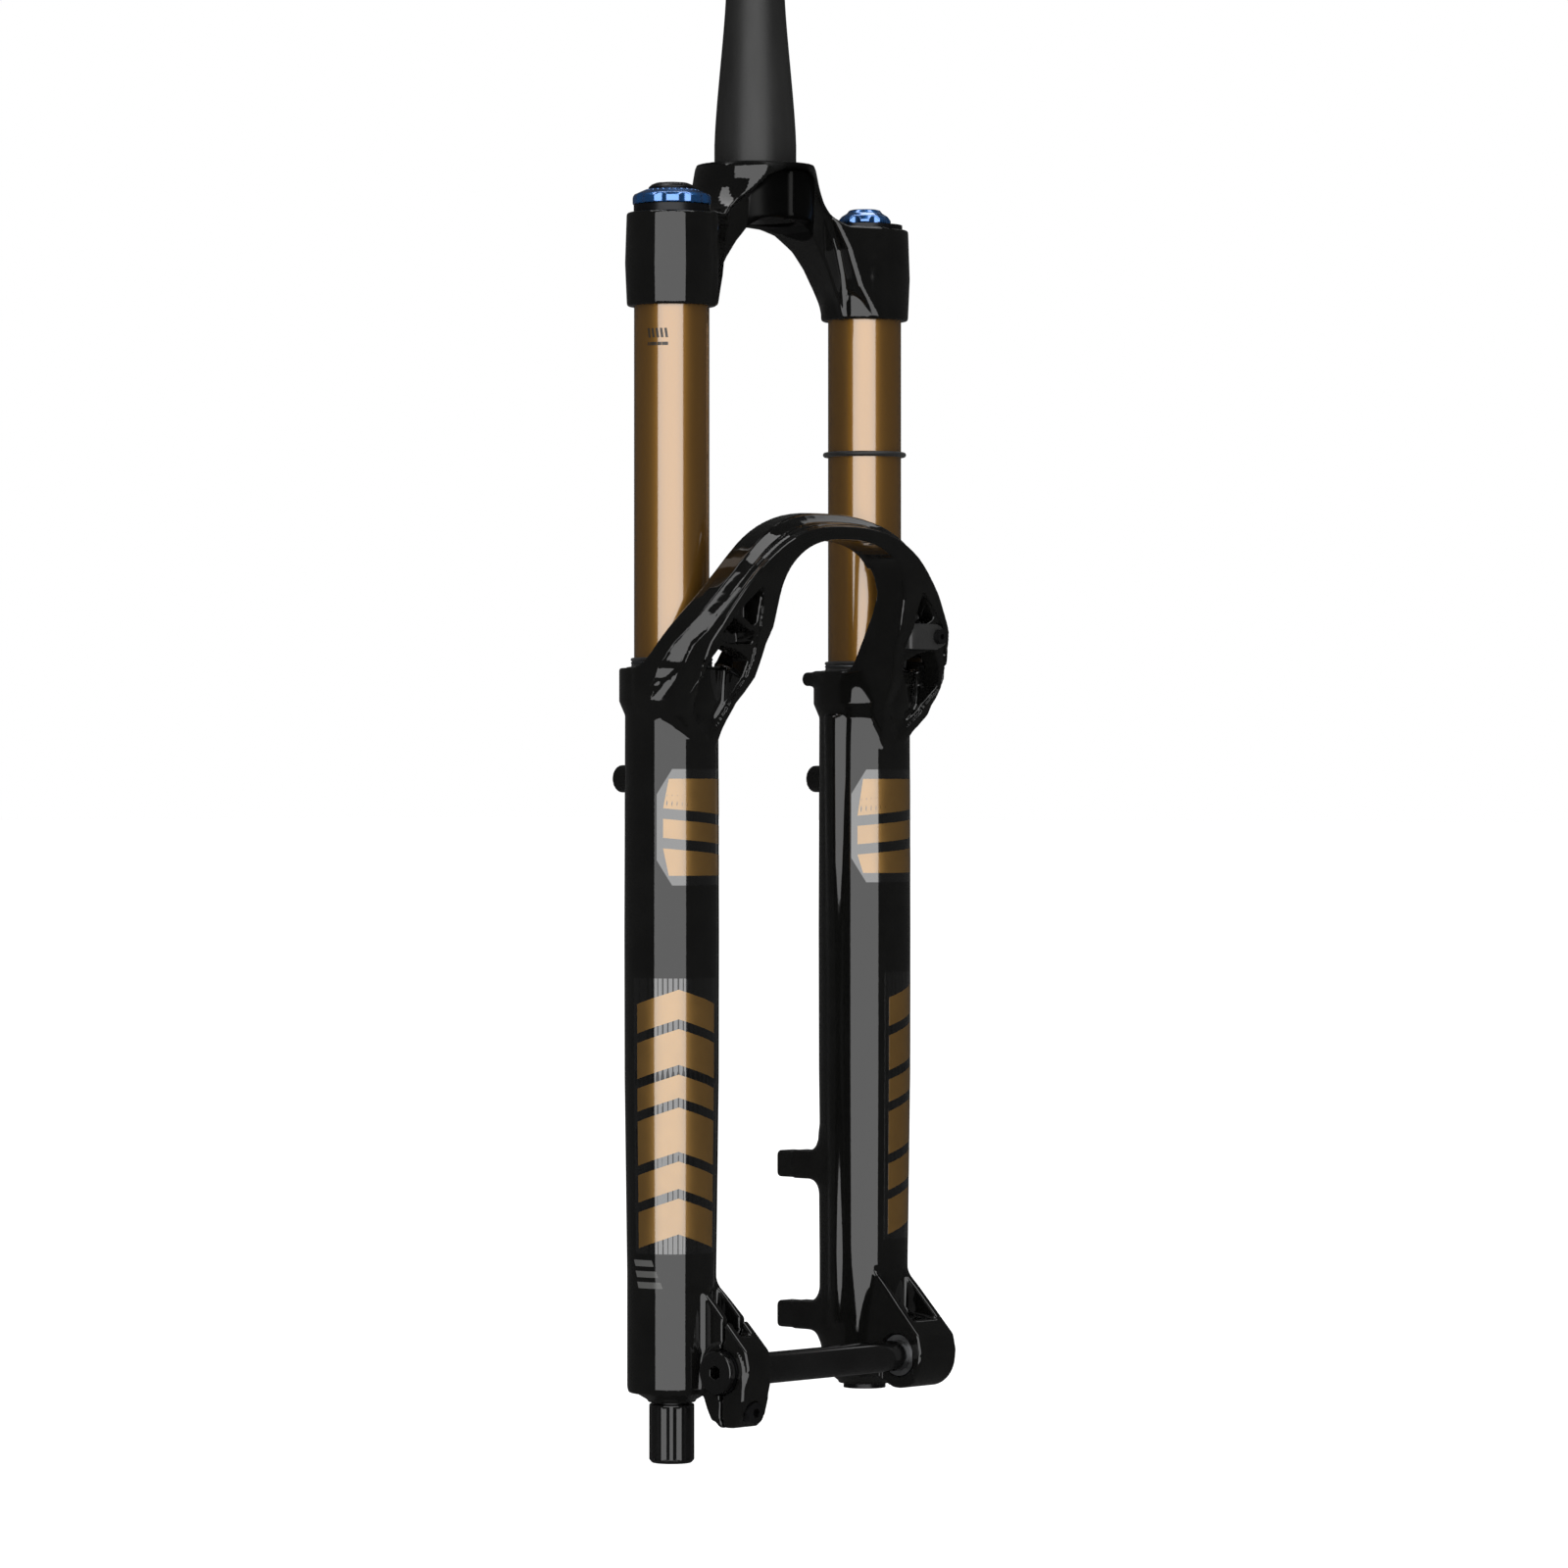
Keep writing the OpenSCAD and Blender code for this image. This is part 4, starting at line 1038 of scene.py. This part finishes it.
a0 = box_mm("air_cap")[0][2]
cap = turned(rounded(
    [(0, a0), (12.3, a0), (12.9, a0 + 0.8), (12.9, -23.2), (11.4, -21.2), (8.8, -19.6),
     (7.6, -18.1), (6.0, -17.7), (0, -17.7)], 0.8), *SPRING)
cap = scallops(cap, 8, *SPRING, 14.6, 3.1, -40, 0, 222.5 + 22.5, 0.6)
cap = cap.cut(rod(2, 4.3, -40, a0 + 5.8, *SPRING), 0.2)
piece("air_cap", carve_fine("air_cap_lobed", cap, 0.36))

# foot controls
c0, c1 = (corner[2] for corner in box_mm("rebound_cover"))
cover = turned(rounded(
    [(0, c0), (9.4, c0), (10.8, c0 + 1.6), (10.8, c1 - 0.4), (10.3, c1), (9.0, c1),
     (9.0, c0 + 2.2), (0, c0 + 2.2)], 0.8), *DAMPER)
cover = scallops(cover, 12, *DAMPER, 12.9, 2.8, c0 + 2.0, c1 - 1.4, 222.5 + 15, 0.5)
piece("rebound_cover", carve_fine("rebound_cover_fluted", cover, 0.42))

# through axle
ax0, ax1 = (corner[0] for corner in box_mm("through_axle"))
axle = rod(0, 7.5, ax0 + 1, ax1, AXLE_Y, AXLE_Z, 0.6)
axle = axle.join(rod(0, 10.15, ax0, ax0 + 4, AXLE_Y, AXLE_Z, 0.7))
axle = axle.cut(rod(0, 5.4, -60, 95, AXLE_Y, AXLE_Z), 0.3)
axle = axle.cut(prism(0, 3.0, ax0 - 1, ax0 + 7, AXLE_Y, AXLE_Z, edge=0.1), 0.3)
axle_axes = fine_axes(axle, 0.5)
axle_axes[0] = graded((ax0 - 1, -66, 0.5), (-66, ax1 - 2, 4.0), (ax1 - 2, ax1 + 1, 0.5))
piece("through_axle", carve("through_axle_turned", axle, axle_axes, 0.5))

# hose clip
clip_lo, clip_hi = box_mm("hose_clip")
cz = (clip_lo[2] + clip_hi[2]) / 2
plan = (
    [(53.2, -43.6), (53.2, -52.0)]
    + curve((53.2, -52.3), (53.4, -54.3), (55.5, -54.4), (58, -54.3))
    + [(79.3, -54.2), (79.3, -52.6), (58.4, -52.6)]
    + curve((57.8, -52.6), (55.4, -52.6), (54.9, -52.0), (54.9, -51.0))[1:]
    + [(54.9, -43.6)]
)
strap = plate(2, plan, clip_lo[2], clip_hi[2], 0.3)
front_shape = rounded([(50, cz - 6.4), (72, cz - 6.4), (79.3, cz - 3.6), (79.3, cz + 3.6),
                       (72, cz + 6.4), (50, cz + 6.4)], 3.6)
strap = strap.clip(plate(1, front_shape, -60, -40), 0.4)
strap = strap.cut(rod(1, 1.9, -60, -50, 73.0, cz), 0.2)
piece("hose_clip", carve_fine("hose_clip_bent", strap, 0.4))

# ---------------------------------------------------------------- decals

LEG_RADII = [(-592, 11.8), (-584.5, 21.3), (-534, 21.3), (-511, 21.6), (-441, 22.5),
             (-371, 22.65), (-324, 22.5), (-267.8, 22.3)]


def leg_radius(z):
    return float(np.interp(z, [r[0] for r in LEG_RADII], [r[1] for r in LEG_RADII]))


PAD_STEP = 2.5  # longest side of a pad's faces round the leg
PAD_ROOT = -0.25  # the pads' inner faces, under the leg's surface


def wrap(name, quads, x, radius, lift):
    """Thin closed pads on an upright leg. Each quad has four (turn, z) corners; turn is in
    degrees from straight ahead, positive towards the leg's outer side."""
    vertices, faces = [], []
    side = 1 if x > 0 else -1
    for quad in quads:
        (a, b, c, d) = [np.array(q, float) for q in quad]
        r0 = radius(quad[0][1])
        wide = max(abs(b - a)[0], abs(c - d)[0]) * math.pi / 180 * r0
        tall = max(abs(d - a)[1], abs(c - b)[1])
        nu, nv = max(1, math.ceil(wide / PAD_STEP)), max(1, math.ceil(tall / (PAD_STEP * 3)))
        base = len(vertices)
        for depth in (lift, PAD_ROOT):
            for i in range(nu + 1):
                for j in range(nv + 1):
                    u, v = i / nu, j / nv
                    q = (a * (1 - u) + b * u) * (1 - v) + (d * (1 - u) + c * u) * v
                    r = radius(q[1]) + depth
                    t = math.radians(q[0])
                    vertices.append((x + side * r * math.sin(t), LEG_Y - r * math.cos(t), q[1]))

        def at(i, j, low):
            return base + low * (nu + 1) * (nv + 1) + i * (nv + 1) + j

        for i in range(nu):
            for j in range(nv):
                faces.append((at(i, j, 0), at(i + 1, j, 0), at(i + 1, j + 1, 0), at(i, j + 1, 0)))
                faces.append((at(i, j, 1), at(i, j + 1, 1), at(i + 1, j + 1, 1), at(i + 1, j, 1)))
        rim = ([(i, 0) for i in range(nu)] + [(nu, j) for j in range(nv)]
               + [(i, nv) for i in range(nu, 0, -1)] + [(0, j) for j in range(nv, 0, -1)])
        for p, q in zip(rim, rim[1:] + rim[:1]):
            faces.append((at(*p, 0), at(*p, 1), at(*q, 1), at(*q, 0)))
    if side < 0:
        faces = [f[::-1] for f in faces]
    v = np.array(vertices)
    n = v - np.array([x, LEG_Y, 0])
    n[:, 2] = 0
    n /= np.linalg.norm(n, axis=1, keepdims=True)
    return add_mesh(name, v, faces, n)


def decal(name, quads, side, material, lift, radius=leg_radius, body="lowers"):
    obj = wrap(name, quads, side * LEG_X, radius, lift)
    obj.data.materials.append(material)
    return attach(obj, body)


def bar(t0, t1, z0, z1, slant=0.0):
    """A four-sided bar, its top shifted round the leg by slant degrees."""
    return [(t0, z0), (t1, z0), (t1 + slant, z1), (t0 + slant, z1)]


for side, hand in ((-1, "right"), (1, "left")):
    # upper badge: three slanted bars on a black panel, centred on the front of the leg
    low, high, cut, narrow, wide = -348.6, -293.4, 12.0, 46, 65
    plain = [bar(-narrow, narrow, low, high)]
    plain += [[(t, low), (t * wide / narrow, low + cut), (t * wide / narrow, high - cut),
               (t, high)][::k] for t, k in ((narrow, 1), (-narrow, -1))]
    decal(f"{hand}_badge_panel", plain, side, DECAL_BLACK, 0.04)
    gold = [[(-50, -344), (50, -344), (57, -331), (-57, -335)],
            [(-57, -330), (57, -326), (57, -317), (-57, -321)],
            [(-57, -316), (57, -312), (50, -298), (-50, -298)]]
    decal(f"{hand}_badge_bars", gold, side, DECAL_GOLD, 0.08)
    # lower band: stacked chevrons on a black panel
    decal(f"{hand}_band_panel", [bar(-22, 99, -523.5, -392.7)], side, DECAL_BLACK, 0.03)
    chevrons = []
    z, fold, peak, gap = -521.0, 38, 7, 4.6
    for tall in (17, 13, 21, 11, 17, 14):
        chevrons += [[(-16, z), (fold, z + peak), (fold, z + peak + tall), (-16, z + tall)],
                     [(fold, z + peak), (93, z), (93, z + tall), (fold, z + peak + tall)]]
        z += tall + gap
    decal(f"{hand}_band_chevrons", chevrons, side, DECAL_GOLD, 0.08)
    ticks = [bar(70 - 6 * k, 100 - 3 * k, -529.5 - 5.2 * k, -526.5 - 5.2 * k, 3)
             for k in range(3)]
    decal(f"{hand}_band_ticks", ticks, side, DECAL_GREY, 0.06)
    # faint generic ticks under the crown on each stanchion
    marks = [bar(52 + 7 * k, 56 + 7 * k, -88.5, -84, 2) for k in range(5)]
    marks += [bar(52, 86, -92.2, -90.6)]
    decal(f"{hand}_stanchion_ticks", marks, side, MARK_DARK, 0.03,
          lambda q: ST_R, body_of("crown"))

# ---------------------------------------------------------------- studio

FLOOR_Z = -0.76


def floor():
    """A plain pale sheet, its far edge beyond the camera's view."""
    mesh = bpy.data.meshes.new("studio_floor")
    n, size = 8, 60.0
    pts = [(-size + 2 * size * i / n, -size + 2 * size * j / n, FLOOR_Z)
           for i in range(n + 1) for j in range(n + 1)]
    quads = [(i * (n + 1) + j, (i + 1) * (n + 1) + j, (i + 1) * (n + 1) + j + 1,
              i * (n + 1) + j + 1) for i in range(n) for j in range(n)]
    mesh.from_pydata(pts, [], quads)
    obj = in_scene("studio_floor", mesh)
    m = bpy.data.materials.new("studio_floor")
    m.use_nodes = True
    shader = m.node_tree.nodes["Principled BSDF"]
    for key, value in (("Base Color", (0.9, 0.9, 0.9, 1)), ("Roughness", 1.0),
                       ("Specular IOR Level", 0.0), ("Emission Color", (1, 1, 1, 1)),
                       ("Emission Strength", 0.35)):
        shader.inputs[key].default_value = value
    mesh.materials.append(m)
    obj.visible_glossy = False


floor()

# air that lights the part evenly but is dark in its reflections
world = bpy.data.worlds.new("studio_air")
bpy.context.scene.world = world
world.use_nodes = True
wt = world.node_tree
air = wt.nodes["Background"]
path = wt.nodes.new("ShaderNodeLightPath")
level = wt.nodes.new("ShaderNodeMapRange")
level.inputs["To Min"].default_value = 1.0
level.inputs["To Max"].default_value = 0.05
wt.links.new(path.outputs["Is Glossy Ray"], level.inputs["Value"])
wt.links.new(level.outputs["Result"], air.inputs["Strength"])
air.inputs["Color"].default_value = (1, 1, 1, 1)
if hasattr(world, "cycles"):
    world.cycles.sampling_method = "NONE"

AIM = Vector((0, LEG_Y * MM, -0.3005))
TURN = math.radians(-47.5)
CAMERA_FAR, CAMERA_ASIDE = 3.1865, 0.00694
BACK = Vector((math.sin(TURN), -math.cos(TURN), 0))
RIGHT = Vector((math.cos(TURN), math.sin(TURN), 0))


def softbox(name, centre, aim, wide, tall, radiance):
    """A rectangular light that only shows in reflections."""
    data = bpy.data.lights.new(name, "AREA")
    data.shape = "RECTANGLE"
    data.size, data.size_y = wide, tall
    data.energy = radiance * wide * tall * math.pi
    obj = in_scene(name, data)
    obj.location = centre
    obj.rotation_euler = (Vector(aim) - Vector(centre)).to_track_quat("-Z", "Y").to_euler()
    obj.visible_camera = False
    obj.visible_diffuse = False


# the key stands behind the camera, from 42 degrees left of its line to 35 right of it
KEY_FAR = 3.6
left_edge = -KEY_FAR * math.tan(math.radians(42))
right_edge = KEY_FAR * math.tan(math.radians(35))
key_centre = AIM + BACK * KEY_FAR + RIGHT * (left_edge + right_edge) / 2
key_centre += Vector((0, 0, 0.9))
softbox("key_softbox", key_centre, key_centre - BACK * 3, right_edge - left_edge, 5.0, 2.7)
for name, offset, wide, tall, radiance in (
        ("top_softbox", (0.3, -1.4, 2.6), 1.7, 1.7, 3.0),
        ("edge_softbox", (2.2, 0.47, 1.95), 0.35, 0.7, 0.9),
        ("strip_softbox", (0, 0.87, 2.67), 4.0, 0.6, 3.0)):
    softbox(name, AIM + Vector(offset), AIM, wide, tall, radiance)

camera_data = bpy.data.cameras.new("camera")
camera_data.lens = 150.86
camera_data.sensor_width = 36.0
camera_data.clip_end = 200.0
camera = in_scene("camera", camera_data)
camera.location = AIM + BACK * CAMERA_FAR + RIGHT * CAMERA_ASIDE
camera.rotation_euler = (math.pi / 2, 0, TURN)
bpy.context.scene.camera = camera
bpy.context.scene.view_settings.view_transform = "Standard"
